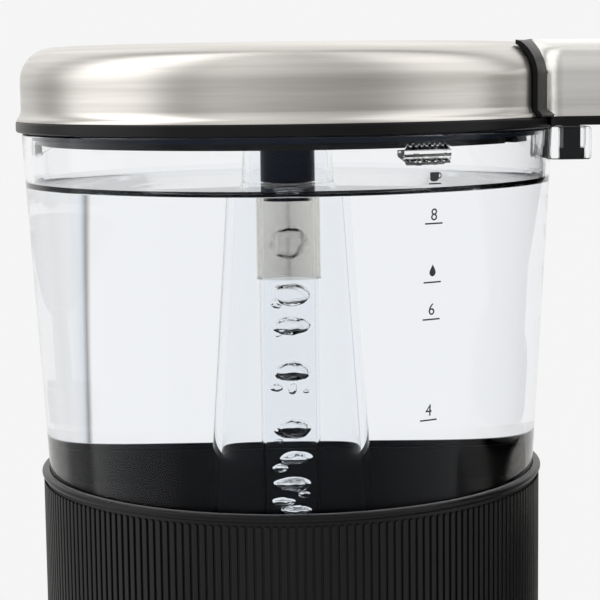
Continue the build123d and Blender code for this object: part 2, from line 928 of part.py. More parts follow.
# Inlet strainer: slotted cap over the outlet in the tank's floor
with BuildPart() as inlet_strainer:
    with BuildSketch(tower_at(tank_floor_z)):
        with Locations(*spout_places):
            Circle(strainer_r)
    extrude(amount=strainer_h)
    fillet(inlet_strainer.faces().sort_by(Axis.Z)[-1].edges(), strainer_t)
    with BuildSketch(tower_at(tank_floor_z)):
        with Locations(*spout_places):
            Circle(strainer_r - strainer_t)
    extrude(amount=strainer_h - strainer_t, mode=Mode.SUBTRACT)
    with BuildSketch(tower_at(tank_floor_z)):
        with Locations(*spout_places):
            with PolarLocations(strainer_r - strainer_t / 2, strainer_slots):
                Rectangle(2 * strainer_t, strainer_slot_w)
    extrude(amount=strainer_slot_h, mode=Mode.SUBTRACT)
write(inlet_strainer, "inlet_strainer")

# Heater plate: steel disc on the tower's posts that carries the heater
with BuildPart() as heater_plate:
    with BuildSketch(tower_at(heater_plate_z)):
        Circle(housing_bore_r - heater_plate_gap)
        Circle(heater_plate_hole_r, mode=Mode.SUBTRACT)
        with Locations(*[around(post_circle_r, angle) for angle in post_angles]):
            Circle(clear_r, mode=Mode.SUBTRACT)
    extrude(amount=heater_plate_t)
write(heater_plate, "heater_plate")

with BuildPart() as heater_screws:
    for x, y in post_places:
        add(screw(Plane(origin=(x, y, heater_low_z)), screw_len))
write(heater_screws, "heater_screws")

# Heater block: aluminium horseshoe with a water bore below and a bore for the heating rod above
with BuildPart() as heater_block:
    with BuildSketch(tower_cut(90 + gap_half)):
        with Locations((heater_mid_r, heater_low_z + heater_h / 2)):
            RectangleRounded(heater_w, heater_h, heater_edge_r)
        with Locations((heater_mid_r, water_z)):
            Circle(spigot_bore_r, mode=Mode.SUBTRACT)
        with Locations((heater_mid_r, rod_z)):
            Circle(rod_r + fit_gap, mode=Mode.SUBTRACT)
    revolve(axis=tower_axis, revolution_arc=heater_arc)
    for side in (1, -1):
        with BuildSketch(heater_end(side, water_z)):
            Circle(spigot_r)
            Circle(spigot_bore_r, mode=Mode.SUBTRACT)
        extrude(amount=stub_len)
write(heater_block, "heater_block")

# Heating rod: sheathed element pressed into the block, with a tail at each end
with BuildPart() as heating_rod:
    with BuildSketch(tower_cut(90 + gap_half)):
        with Locations((heater_mid_r, rod_z)):
            Circle(rod_r)
    revolve(axis=tower_axis, revolution_arc=heater_arc)
    for side in (1, -1):
        with BuildSketch(heater_end(side, rod_z)):
            Circle(rod_r)
        extrude(amount=rod_tail)
write(heating_rod, "heating_rod")

# Thermostat on the block's front, and two thermal fuses beside it
with BuildPart() as thermostat:
    with BuildSketch(Plane(origin=(tower_x, -heater_mid_r, heater_top_z))):
        Circle(thermostat_flange_r)
    extrude(amount=thermostat_flange_t)
    with BuildSketch(Plane(origin=(tower_x, -heater_mid_r, heater_top_z))):
        Circle(thermostat_r)
    extrude(amount=thermostat_h)
write(thermostat, "thermostat")

with BuildPart() as thermal_fuses:
    for angle in fuse_angles:
        along = (*around(1, angle + 90), 0)
        spot = (*around(heater_mid_r, angle, tower_x), heater_top_z + fuse_r)
        with BuildSketch(Plane(origin=spot, z_dir=along)):
            Circle(fuse_r)
        extrude(amount=fuse_len / 2, both=True)
write(thermal_fuses, "thermal_fuses")


def hose(side, turn_z, over_z, end_z, over_x, over_y):
    """A silicone hose from one end of the heater, up behind it and over to a spigot under the tank."""
    mouth = heater_end(side, water_z)
    start = mouth.origin + mouth.z_dir * hose_start
    corner = mouth.origin + mouth.z_dir * hose_run
    with BuildPart() as body:
        with BuildLine() as route:
            FilletPolyline(
                start,
                corner,
                (corner.X, corner.Y, turn_z),
                (tower_x + over_x, over_y, over_z),
                (tower_x + over_x, over_y, end_z),
                radius=hose_bend_r,
            )
        with BuildSketch(Plane(origin=start, z_dir=mouth.z_dir)):
            Circle(hose_r)
            Circle(hose_bore_r, mode=Mode.SUBTRACT)
        sweep(path=route.line)
    return body.part


# Outlet hose from the heater to the riser, and inlet hose from the check valve to the heater
with BuildPart() as outlet_hose:
    add(hose(1, outlet_turn_z, outlet_over_z, outlet_end_z, 0, 0))
write(outlet_hose, "outlet_hose")

with BuildPart() as inlet_hose:
    add(hose(-1, inlet_turn_z, inlet_over_z, inlet_end_z, spout_x, spout_y))
write(inlet_hose, "inlet_hose")

# Hose clamps: a spring band at each end of each hose
clamp_planes = [
    heater_end(1, water_z).offset(hose_start + clamp_inset),
    heater_end(-1, water_z).offset(hose_start + clamp_inset),
    tower_at(outlet_end_z - clamp_inset - clamp_w),
    Plane(origin=(tower_x + spout_x, spout_y, inlet_end_z - clamp_inset - clamp_w)),
]
with BuildPart() as hose_clamps:
    for place in clamp_planes:
        with BuildSketch(place):
            Circle(hose_r + clamp_t)
            Circle(hose_r, mode=Mode.SUBTRACT)
        extrude(amount=clamp_w)
write(hose_clamps, "hose_clamps")


def valve_at(height):
    return Plane(origin=(tower_x + spout_x, spout_y, height))


# Check valve under the tank's spout: a ball lies in a cage and rises to close the port above it
with BuildPart() as valve_body:
    with BuildSketch(valve_at(valve_foot_z)):
        Circle(valve_r)
    extrude(amount=valve_top_z - valve_foot_z)
    with BuildSketch(valve_at(valve_foot_z)):
        Circle(spigot_r)
    extrude(amount=-valve_nipple_len)
    with BuildSketch(valve_at(spout_low_z)):
        Circle(spout_r + fit_gap)
    extrude(amount=valve_top_z - spout_low_z, mode=Mode.SUBTRACT)
    with BuildSketch(valve_at(ball_room_top_z)):
        Circle(ball_port_r)
    extrude(amount=spout_low_z - ball_room_top_z, mode=Mode.SUBTRACT)
    with BuildSketch(valve_at(valve_foot_z + valve_floor_t)):
        Circle(ball_room_r)
    extrude(amount=ball_room_top_z - valve_foot_z - valve_floor_t, mode=Mode.SUBTRACT)
    with BuildSketch(valve_at(valve_foot_z + valve_floor_t / 2)):
        Rectangle(2 * ball_r, cage_slot_w)
        Rectangle(cage_slot_w, 2 * ball_r)
    extrude(amount=valve_floor_t / 2, mode=Mode.SUBTRACT)
    with BuildSketch(valve_at(valve_foot_z - valve_nipple_len)):
        Circle(spigot_bore_r)
    extrude(amount=valve_nipple_len + valve_floor_t, mode=Mode.SUBTRACT)
write(valve_body, "valve_body")

with BuildPart() as valve_ball:
    with Locations((tower_x + spout_x, spout_y, ball_z)):
        Sphere(ball_r)
write(valve_ball, "valve_ball")

# Light ring: translucent cup in the band's front that the button slides in
with BuildPart() as light_ring:
    with BuildSketch(front_at(light_floor_y)):
        Circle(light_r)
        Circle(light_bore_r, mode=Mode.SUBTRACT)
    extrude(amount=band_r + light_proud + light_floor_y)
    with BuildSketch(front_at(light_floor_y)):
        Circle(light_r + light_lip)
        Circle(button_stem_r + running_gap, mode=Mode.SUBTRACT)
    extrude(amount=-light_floor_t)
write(light_ring, "light_ring")

# Power button: round cap with a stem behind it
with BuildPart() as power_button:
    with BuildSketch(front_at(button_face_y)):
        Circle(button_r)
    extrude(amount=-button_t)
    fillet(power_button.faces().sort_by(Axis.Y)[0].edges(), button_round_r)
    with BuildSketch(front_at(button_face_y + button_t)):
        Circle(button_stem_r)
    extrude(amount=-button_stem_len)
write(power_button, "power_button")

# Switch plunger: the switch's own pin, which the stem pushes
with BuildPart() as switch_plunger:
    with BuildSketch(front_at(stem_end_y)):
        Circle(plunger_r)
    extrude(amount=-plunger_len)
write(switch_plunger, "switch_plunger")

with BuildPart() as switch_body:
    with BuildSketch(front_at(switch_y)):
        Rectangle(switch_w, switch_w)
    extrude(amount=-switch_t)
    with BuildSketch(front_at(switch_y)):
        Circle(plunger_r + running_gap)
    extrude(amount=-plunger_len / 2 - button_travel - running_gap, mode=Mode.SUBTRACT)
write(switch_body, "switch_body")

# Control board on the housing's two front posts, with the relay on its back and its screws
with BuildPart() as control_board:
    with BuildSketch(front_at(board_y)):
        Rectangle(board_w, board_h)
        with Locations((-board_post_x, 0), (board_post_x, 0)):
            Circle(screw_shank_r * board_screw_size + fit_gap, mode=Mode.SUBTRACT)
    extrude(amount=-board_t)
write(control_board, "control_board")

with BuildPart() as relay:
    with BuildSketch(front_at(board_y + board_t)):
        Rectangle(relay_w, relay_h)
    extrude(amount=-relay_t)
    fillet(relay.edges().filter_by(Axis.Y), board_t / 2)
write(relay, "relay")

with BuildPart() as board_screws:
    for x in (-board_post_x, board_post_x):
        back = Plane(origin=(tower_x + x, board_y + board_t, button_z), x_dir=(1, 0, 0), z_dir=(0, 1, 0))
        add(screw(back, board_screw_len, board_screw_size))
write(board_screws, "board_screws")

# Terminal block on the base's top, inside the tower
with BuildPart() as terminal_block:
    with BuildSketch(tower_at(base_top_z)):
        with Locations((0, terminal_y)):
            Rectangle(terminal_w, terminal_d)
    extrude(amount=terminal_h)
    with BuildSketch(tower_at(base_top_z + terminal_h)):
        with Locations((0, terminal_y)):
            with GridLocations(terminal_w / terminal_count, 0, terminal_count, 1):
                Circle(terminal_screw_r)
    extrude(amount=-terminal_screw_deep, mode=Mode.SUBTRACT)
write(terminal_block, "terminal_block")

# Window that the water channel needs in the pieces that it passes, and the places of its ears
window_w = 2 * (channel_half + running_gap)
window_h = channel_lift + channel_h + running_gap
ear_places = [(tower_x + ear_x, -ear_y), (tower_x + ear_x, ear_y)]
lid_ear_places = [(tower_x + lid_ear_x, -ear_y), (tower_x + lid_ear_x, ear_y)]

# Lid cover: drawn steel cap with a rounded shoulder and a turned-out foot
with BuildPart() as lid_cover:
    add(lid_form(0))
    add(lid_form(-steel_t), mode=Mode.SUBTRACT)
    with BuildSketch(Plane.XY.offset(lid_edge_z)):
        with Locations((tower_x + lid_r, 0)):
            Rectangle(2 * (lid_lip_out + steel_t + overrun), window_w)
    extrude(amount=window_h, mode=Mode.SUBTRACT)
write(lid_cover, "lid_cover")

# Lid base: black ring under the steel, with the floor, the skirt that enters the tank and a locating rib
rib_out_r = lid_r - steel_t - fit_gap
with BuildPart() as lid_base:
    with BuildSketch(tower_cut()):
        with BuildLine():
            Polyline(
                (connector_r + fit_gap, ring_low_z),
                (skirt_r - skirt_t, ring_low_z),
                (skirt_r - skirt_t, ring_low_z - skirt_h),
                (skirt_r, ring_low_z - skirt_h),
                (skirt_r, ring_low_z),
                (ring_r, ring_low_z),
                (ring_r, lid_edge_z),
                (rib_out_r, lid_edge_z),
                (rib_out_r, lid_edge_z + lid_rib_h),
                (rib_out_r - lid_rib_t, lid_edge_z + lid_rib_h),
                (rib_out_r - lid_rib_t, lid_floor_z),
                (connector_r + fit_gap, lid_floor_z),
                close=True,
            )
        make_face()
    revolve(axis=tower_axis)
    rim_edges = lid_base.edges().filter_by(GeomType.CIRCLE)
    fillet(rim_edges.filter_by(lambda edge: edge.radius > ring_r - fit_gap), ring_round_r)
    with BuildSketch(tower_at(ring_low_z - skirt_h)):
        with Locations((skirt_right + skirt_r, 0), (-skirt_left - skirt_r, 0)):
            Rectangle(2 * skirt_r, 2 * skirt_r)
        with Locations(Location(around(skirt_r, notch_angle), notch_angle)):
            Rectangle(4 * skirt_t, notch_w)
    extrude(amount=skirt_h, mode=Mode.SUBTRACT)
    with BuildSketch(Plane.XY.offset(lid_edge_z)):
        with Locations((tower_x + rib_out_r, 0)):
            Rectangle(4 * lid_rib_t, window_w)
    extrude(amount=lid_rib_h, mode=Mode.SUBTRACT)
    with BuildSketch(Plane.XY.offset(ring_low_z)):
        with Locations(*lid_ear_places):
            Circle(clear_r)
    extrude(amount=lid_floor_t, mode=Mode.SUBTRACT)
write(lid_base, "lid_base")

# Lid gasket: silicone ring round the skirt
with BuildPart() as lid_gasket:
    with BuildSketch(tower_at(ring_low_z)):
        Circle(skirt_r + gasket_out)
        Circle(skirt_r, mode=Mode.SUBTRACT)
    extrude(amount=-gasket_h)
write(lid_gasket, "lid_gasket")

# Arm cover: drawn steel hood whose hollow end follows the lid's shoulder
saddle_out = running_gap + saddle_t
with BuildPart() as arm_cover:
    add(arm_form(0, 0))
    add(arm_form(-steel_t, -steel_t), mode=Mode.SUBTRACT)
    add(lid_form(saddle_out), mode=Mode.SUBTRACT)
write(arm_cover, "arm_cover")

# Arm end: black saddle between the arm's hood and the lid, with the channel's window
saddle_angle = degrees(asin((arm_half + flare_r) / (ring_r + flare_r)) + saddle_strip / ring_r)
with BuildPart() as arm_end:
    add(lid_form(saddle_out, saddle_angle))
    add(lid_form(running_gap), mode=Mode.SUBTRACT)
    add(arm_form(saddle_strip, 0), mode=Mode.INTERSECT)
    with BuildSketch(tower_at(lid_edge_z)):
        Circle(lid_r - lid_corner_r / 2)
    extrude(amount=arm_h, mode=Mode.SUBTRACT)
    with BuildSketch(Plane.XY.offset(lid_edge_z)):
        with Locations((tower_x + lid_r, 0)):
            Rectangle(4 * saddle_out, window_w)
    extrude(amount=window_h, mode=Mode.SUBTRACT)
write(arm_end, "arm_end")

# Arm tray: black floor of the arm, with a rib inside the hood, the shower's port and bosses,
# and below it the key that drops into the tank's socket
shower_screw_places = [
    around(shower_screw_circle_r, number * 360 / shower_screws_count, stand_x)
    for number in range(shower_screws_count)
]
rib_in = steel_t + fit_gap
rib_notch_r = lid_r + lid_lip_out + saddle_out + fit_gap
key_low_z = lid_edge_z - socket_drop + running_gap
with BuildPart() as arm_tray:
    with BuildSketch(Plane.XY.offset(tray_z)):
        add(arm_plan(0, ring_r + seam_w))
    extrude(amount=tray_t)
    with BuildSketch(Plane.XY.offset(lid_edge_z)):
        add(arm_plan(-rib_in, rib_notch_r))
        add(arm_plan(-rib_in - tray_rib_t, rib_notch_r), mode=Mode.SUBTRACT)
    extrude(amount=tray_rib_h)
    with BuildSketch(Plane.XY.offset(lid_edge_z)):
        with Locations(*shower_screw_places):
            Circle(ear_r)
    extrude(amount=ear_h)
    with BuildSketch(Plane.XY.offset(tray_z)):
        with Locations(*shower_screw_places):
            Circle(clear_r)
    extrude(amount=tray_t + ear_h, mode=Mode.SUBTRACT)
    with BuildSketch(Plane.XY.offset(lid_edge_z)):
        with Locations((stand_x, 0)):
            Circle(outlet_r + fit_gap)
        with Locations(*ear_places):
            Circle(clear_r)
    extrude(amount=-tray_t, mode=Mode.SUBTRACT)
    with BuildSketch(tower_at(tray_z)):
        with Locations((key_x, 0)):
            Rectangle(key_w, 2 * key_half)
    extrude(amount=key_low_z - tray_z)
    with BuildSketch(tower_at(key_low_z)):
        with Locations((key_x, 0)):
            Rectangle(key_foot_w, 2 * key_half)
    extrude(amount=key_foot_h)
write(arm_tray, "arm_tray")

# Water channel: closed duct from the connector over the riser to the shower head
with BuildPart() as water_channel:
    with BuildSketch(Plane.XY.offset(channel_z)):
        with Locations((middle_x, 0)):
            SlotCenterToCenter(axis_gap, 2 * channel_half)
    extrude(amount=channel_h)
    fillet(water_channel.faces().sort_by(Axis.Z)[-1].edges(), channel_t)
    with BuildSketch(Plane.XY.offset(channel_z + channel_t)):
        with Locations((middle_x, 0)):
            SlotCenterToCenter(axis_gap, 2 * (channel_half - channel_t))
    extrude(amount=channel_h - 2 * channel_t, mode=Mode.SUBTRACT)
    with BuildSketch(tower_at(channel_z)):
        Circle(inlet_r)
    extrude(amount=-inlet_drop)
    with BuildSketch(stand_at(channel_z)):
        Circle(outlet_r)
    extrude(amount=-outlet_drop)
    for ear_z, places in ((lid_edge_z, ear_places), (lid_floor_z, lid_ear_places)):
        with BuildSketch(Plane.XY.offset(ear_z)):
            with Locations(*places):
                Circle(ear_r)
        extrude(amount=ear_h)
        with BuildSketch(Plane.XY.offset(ear_z)):
            with Locations(*places):
                Circle(clear_r)
        extrude(amount=ear_h, mode=Mode.SUBTRACT)
    with BuildSketch(tower_at(channel_z - inlet_drop)):
        Circle(inlet_bore_r)
    extrude(amount=inlet_drop + channel_t, mode=Mode.SUBTRACT)
    with BuildSketch(stand_at(channel_z - outlet_drop)):
        Circle(outlet_bore_r)
    extrude(amount=outlet_drop + channel_t, mode=Mode.SUBTRACT)
write(water_channel, "water_channel")

# Head connector: dark silicone bush that joins the channel's inlet to the riser tube
with BuildPart() as head_connector:
    with BuildSketch(tower_at(connector_low_z)):
        Circle(connector_r)
    extrude(amount=lid_floor_z - connector_low_z)
    with BuildSketch(tower_at(lid_floor_z)):
        Circle(connector_collar_r)
    extrude(amount=channel_z - lid_floor_z)
    with BuildSketch(tower_at(connector_low_z)):
        Circle(nose_r)
    extrude(amount=-nose_h)
    with BuildSketch(tower_at(connector_low_z - nose_h)):
        Circle(inlet_bore_r)
    extrude(amount=channel_z - connector_low_z + nose_h, mode=Mode.SUBTRACT)
    with BuildSketch(tower_at(channel_z)):
        Circle(inlet_r + fit_gap / 2)
    extrude(amount=-inlet_drop, mode=Mode.SUBTRACT)
write(head_connector, "head_connector")

# Shower head: shallow cup with rings of fine holes, its gasket and its screws
with BuildPart() as shower_head:
    with BuildSketch(stand_at(shower_low_z)):
        Circle(shower_r)
    extrude(amount=shower_h)
    fillet(shower_head.faces().sort_by(Axis.Z)[0].edges(), shower_t)
    with BuildSketch(stand_at(shower_top_z)):
        Circle(shower_flange_r)
    extrude(amount=-shower_flange_t)
    with BuildSketch(stand_at(shower_top_z)):
        Circle(shower_r - shower_t)
    extrude(amount=shower_t - shower_h, mode=Mode.SUBTRACT)
    with BuildSketch(stand_at(shower_low_z)):
        Circle(shower_hole_r)
        for ring in range(1, shower_rings + 1):
            with PolarLocations(ring * shower_ring_pitch, 6 * ring):
                Circle(shower_hole_r)
    extrude(amount=shower_t, mode=Mode.SUBTRACT)
    with BuildSketch(Plane.XY.offset(shower_top_z)):
        with Locations(*shower_screw_places):
            Circle(clear_r)
    extrude(amount=-shower_flange_t, mode=Mode.SUBTRACT)
write(shower_head, "shower_head")

with BuildPart() as shower_gasket:
    with BuildSketch(stand_at(shower_top_z)):
        Circle(shower_r - shower_t + shower_gasket_w)
        Circle(shower_r - shower_t, mode=Mode.SUBTRACT)
    extrude(amount=shower_gasket_t)
write(shower_gasket, "shower_gasket")

with BuildPart() as shower_screws:
    for x, y in shower_screw_places:
        add(screw(under(x, y, shower_top_z - shower_flange_t), screw_len))
write(shower_screws, "shower_screws")

# Head screws: hold the water channel's ears down on the lid base and on the arm tray
with BuildPart() as head_screws:
    for x, y in ear_places:
        add(screw(under(x, y, tray_z), screw_len))
    for x, y in lid_ear_places:
        add(screw(under(x, y, ring_low_z), screw_len))
write(head_screws, "head_screws")

# Jug shell, jug liner and liner neck: outer and inner steel wall of the insulated jug. The inner wall is
# a drawn cup welded edge to edge to a neck, and hangs by the neck's rim
with BuildPart() as jug_shell:
    add(jug_form(0, jug_cup_z, jug_top_z))
    add(jug_form(jug_wall, jug_cup_z + jug_wall, jug_top_z), mode=Mode.SUBTRACT)
write(jug_shell, "jug_shell")

liner_hollow = jug_form(
    liner_inset + jug_wall,
    jug_cup_z + liner_inset + jug_wall,
    jug_top_z + jug_wall,
)
for liner_half, node in ((Keep.BOTTOM, "jug_liner"), (Keep.TOP, "liner_neck")):
    with BuildPart() as liner:
        add(jug_form(liner_inset, jug_cup_z + liner_inset, jug_top_z + jug_wall))
        with BuildSketch(stand_at(jug_top_z)):
            Circle(jug_neck_r)
        extrude(amount=jug_wall)
        add(liner_hollow, mode=Mode.SUBTRACT)
        split(bisect_by=stand_at(liner_seam_z), keep=liner_half)
    write(liner, node)

# Jug base: black cup round the foot of the steel
with BuildPart() as jug_base:
    with BuildSketch(stand_cut()):
        with BuildLine():
            FilletPolyline(
                (0, jug_foot_z),
                (jug_r + jug_cup_t, jug_foot_z),
                (jug_r + jug_cup_t, jug_foot_z + jug_cup_h),
                (jug_r, jug_foot_z + jug_cup_h),
                (jug_r, jug_cup_z),
                (0, jug_cup_z),
                radius=(0, jug_cup_t, jug_cup_t / 3, 0, jug_heel_r, 0),
                close=True,
            )
        make_face()
    revolve(axis=stand_axis)
write(jug_base, "jug_base")

# Jug collar: black ring round the mouth, with the pouring beak and the boss for the handle
collar_inside_z = jug_top_z + jug_wall
with BuildPart() as jug_collar:
    with BuildSketch(stand_at(collar_top_z - collar_h)):
        Circle(collar_r)
    extrude(amount=collar_h)
    fillet(jug_collar.faces().sort_by(Axis.Z)[-1].edges(), collar_round_r)
    with BuildSketch(stand_at(collar_top_z)):
        with BuildLine():
            FilletPolyline(
                (-collar_mouth_r, beak_half),
                (-collar_r, beak_half),
                (-collar_r - beak_out, 0),
                (-collar_r, -beak_half),
                (-collar_mouth_r, -beak_half),
                radius=(0, beak_out, beak_groove_half, beak_out, 0),
                close=True,
            )
        make_face()
    extrude(amount=-beak_h)
    with BuildSketch(stand_at(collar_top_z)):
        with Locations(((collar_mouth_r + collar_boss_x) / 2, 0)):
            Rectangle(collar_boss_x - collar_mouth_r, handle_w)
    extrude(amount=-collar_boss_t)
    with BuildSketch(stand_at(collar_inside_z)):
        Circle(jug_neck_r + fit_gap)
    extrude(amount=-collar_h, mode=Mode.SUBTRACT)
    with BuildSketch(stand_at(collar_top_z)):
        Circle(collar_mouth_r)
    extrude(amount=-collar_h, mode=Mode.SUBTRACT)
    with BuildSketch(stand_at(collar_top_z)):
        with Locations((-collar_r, 0)):
            Rectangle(2 * (collar_r - collar_mouth_r + beak_out), 2 * beak_groove_half)
    extrude(amount=-beak_groove_deep, mode=Mode.SUBTRACT)
    with BuildSketch(stand_at(collar_top_z)):
        with Locations((handle_screw_x, -handle_screw_y), (handle_screw_x, handle_screw_y)):
            Circle(clear_r)
    extrude(amount=-collar_boss_t, mode=Mode.SUBTRACT)
write(jug_collar, "jug_collar")

# Jug handle: black loop from the collar's boss down to the bracket on the steel
with BuildPart() as jug_handle:
    with BuildLine(stand_cut()) as handle_route:
        FilletPolyline(
            (collar_r + handle_start_gap, handle_z),
            (handle_mid, handle_z),
            (handle_mid, handle_foot_z),
            (jug_r, handle_foot_z),
            radius=handle_bend_r,
        )
    with BuildSketch(Plane(origin=handle_route.line @ 0, x_dir=(0, 1, 0), z_dir=(1, 0, 0))):
        RectangleRounded(handle_w, handle_t, handle_corner_r)
    sweep(path=handle_route.line)
    with BuildSketch(stand_at(handle_foot_z)):
        Circle(jug_r + bracket_t)
    extrude(amount=handle_t, both=True, mode=Mode.SUBTRACT)
    with BuildSketch(stand_at(handle_foot_z)):
        with Locations((jug_r, 0)):
            Rectangle(2 * (tongue_out + bracket_t + fit_gap), 2 * (tongue_half + fit_gap))
    extrude(amount=tongue_t / 2 + fit_gap, both=True, mode=Mode.SUBTRACT)
    with BuildSketch(stand_at(handle_z + handle_t / 2)):
        with Locations((handle_screw_x, -handle_screw_y), (handle_screw_x, handle_screw_y)):
            Circle(clear_r)
    extrude(amount=collar_boss_t - screw_len - fit_gap, mode=Mode.SUBTRACT)
write(jug_handle, "jug_handle")

with BuildPart() as handle_screws:
    for y in (-handle_screw_y, handle_screw_y):
        add(screw(Plane(origin=(stand_x + handle_screw_x, y, collar_top_z)), screw_len))
write(handle_screws, "handle_screws")

# Handle bracket: steel saddle on the shell, whose tongue enters the handle's lower end
with BuildPart() as handle_bracket:
    with BuildSketch(stand_at(handle_foot_z)):
        Circle(jug_r + bracket_t)
        Circle(jug_r, mode=Mode.SUBTRACT)
        with Locations((jug_r, 0)):
            Rectangle(jug_r, 2 * bracket_half, mode=Mode.INTERSECT)
    extrude(amount=bracket_h / 2, both=True)
    with BuildSketch(stand_at(handle_foot_z)):
        with Locations((jug_r + bracket_t / 2 + tongue_out / 2, 0)):
            Rectangle(tongue_out, 2 * tongue_half)
    extrude(amount=tongue_t / 2, both=True)
write(handle_bracket, "handle_bracket")

# Filter cone: black holder for a paper filter, standing on the collar by its flange
cone_floor_z = throat_z + funnel_wall
with BuildPart() as filter_cone:
    with BuildSketch(stand_cut()):
        with BuildLine():
            Polyline(
                (0, throat_z),
                (funnel_spout_r - funnel_wall, throat_z),
                (funnel_spout_r - funnel_wall, funnel_low_z),
                (funnel_spout_r, funnel_low_z),
                (funnel_spout_r, throat_z),
                (funnel_throat_r, throat_z),
                (funnel_rim_r, funnel_top_z),
                (funnel_rim_r - funnel_wall, funnel_top_z),
                (cone_out(cone_floor_z) - funnel_wall, cone_floor_z),
                (0, cone_floor_z),
                close=True,
            )
        make_face()
    revolve(axis=stand_axis)
    with BuildSketch(stand_at(funnel_top_z)):
        Circle(funnel_rim_r + funnel_bead_out)
        Circle(funnel_rim_r - funnel_wall, mode=Mode.SUBTRACT)
    extrude(amount=-funnel_bead_h)
    with BuildSketch(stand_at(funnel_top_z)):
        Rectangle(tab_w, 2 * (funnel_rim_r + funnel_bead_out + tab_out))
        Circle(funnel_rim_r, mode=Mode.SUBTRACT)
    extrude(amount=-tab_t)
    with BuildSketch(stand_at(seat_z)):
        Circle(seat_r)
        Circle(cone_out(seat_z) - funnel_wall / 2, mode=Mode.SUBTRACT)
    extrude(amount=seat_t)
    with BuildSketch(stand_at(seat_z)):
        Circle(seat_ring_r)
        Circle(seat_ring_r - seat_ring_t, mode=Mode.SUBTRACT)
    extrude(amount=-seat_ring_h)
    for number in range(gusset_count):
        with BuildSketch(stand_cut((number + 1 / 2) * 360 / gusset_count)):
            with BuildLine():
                Polyline(
                    (cone_out(seat_top_z) - funnel_wall / 2, seat_top_z),
                    (seat_r - gusset_foot, seat_top_z),
                    (cone_out(seat_top_z + gusset_h) - funnel_wall / 2, seat_top_z + gusset_h),
                    close=True,
                )
            make_face()
        extrude(amount=gusset_t / 2, both=True)
    rib_top_z = funnel_top_z - funnel_rib_end
    for number in range(funnel_ribs):
        with BuildSketch(stand_cut(number * 360 / funnel_ribs)):
            with BuildLine():
                Polyline(
                    (cone_out(cone_floor_z) - 3 * funnel_wall / 2, cone_floor_z),
                    (cone_out(cone_floor_z) - funnel_wall - funnel_rib_t, cone_floor_z),
                    (cone_out(rib_top_z) - funnel_wall - funnel_rib_t, rib_top_z),
                    (cone_out(rib_top_z) - funnel_wall / 2, rib_top_z),
                    close=True,
                )
            make_face()
        revolve(axis=stand_axis, revolution_arc=funnel_rib_arc)
    with BuildSketch(stand_at(throat_z)):
        with PolarLocations(funnel_hole_circle_r, funnel_holes):
            Circle(funnel_hole_r)
    extrude(amount=funnel_wall, mode=Mode.SUBTRACT)
write(filter_cone, "filter_cone")
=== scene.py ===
import json
from math import cos, pi, radians, sin

import bpy
from mathutils import Matrix, Vector

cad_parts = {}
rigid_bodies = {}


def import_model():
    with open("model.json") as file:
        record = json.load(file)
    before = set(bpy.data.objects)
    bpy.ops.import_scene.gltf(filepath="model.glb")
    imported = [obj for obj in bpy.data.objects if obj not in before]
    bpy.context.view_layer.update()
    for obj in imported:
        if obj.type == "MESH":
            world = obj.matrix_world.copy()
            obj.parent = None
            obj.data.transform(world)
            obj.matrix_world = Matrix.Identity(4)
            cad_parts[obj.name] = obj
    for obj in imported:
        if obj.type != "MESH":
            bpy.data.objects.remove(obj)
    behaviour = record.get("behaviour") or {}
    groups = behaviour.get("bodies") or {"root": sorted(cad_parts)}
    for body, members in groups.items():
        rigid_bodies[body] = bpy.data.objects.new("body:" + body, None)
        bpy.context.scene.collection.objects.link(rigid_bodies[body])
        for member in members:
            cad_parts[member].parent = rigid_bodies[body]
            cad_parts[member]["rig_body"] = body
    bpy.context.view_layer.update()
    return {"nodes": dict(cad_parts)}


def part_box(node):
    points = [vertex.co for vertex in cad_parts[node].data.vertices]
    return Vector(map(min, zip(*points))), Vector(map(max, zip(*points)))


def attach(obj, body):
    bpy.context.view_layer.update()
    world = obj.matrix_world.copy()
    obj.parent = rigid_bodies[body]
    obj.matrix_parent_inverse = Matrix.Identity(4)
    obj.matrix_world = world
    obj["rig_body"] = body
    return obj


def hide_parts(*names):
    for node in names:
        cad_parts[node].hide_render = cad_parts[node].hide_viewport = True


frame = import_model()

# The studio: the camera looks at the tank from the front, less than half a metre away and level with the lid.
# Soft boxes round the machine and a pale ceiling are what the steel shows.
scene = bpy.context.scene
scene.view_settings.view_transform = "Standard"
rim_low, rim_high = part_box("housing_rim")
tower_x = (rim_low[0] + rim_high[0]) / 2
plate_low, plate_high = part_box("stand_plate")
stand_x = (plate_low[0] + plate_high[0]) / 2

yaw, pitch, roll = 0.00585, radians(7.0), -0.0126
ahead = Vector((sin(yaw) * cos(pitch), cos(yaw) * cos(pitch), -sin(pitch)))
level = Vector((cos(yaw), -sin(yaw), 0))
upright = level.cross(ahead)
aside = level * cos(roll) + upright * sin(roll)
above = upright * cos(roll) - level * sin(roll)
eye_place = Vector((tower_x, -0.454, 0.2705))
eye = bpy.data.cameras.new("photo_camera")
eye.sensor_width = 36
eye.lens = 110.56
eye.clip_start = 0.01
camera = bpy.data.objects.new("photo_camera", eye)
scene.collection.objects.link(camera)
camera.matrix_world = Matrix.Translation(eye_place) @ Matrix((aside, above, -ahead)).transposed().to_4x4()
scene.camera = camera
scene.cycles.max_bounces = 40
scene.cycles.transmission_bounces = 40
scene.cycles.glossy_bounces = 12

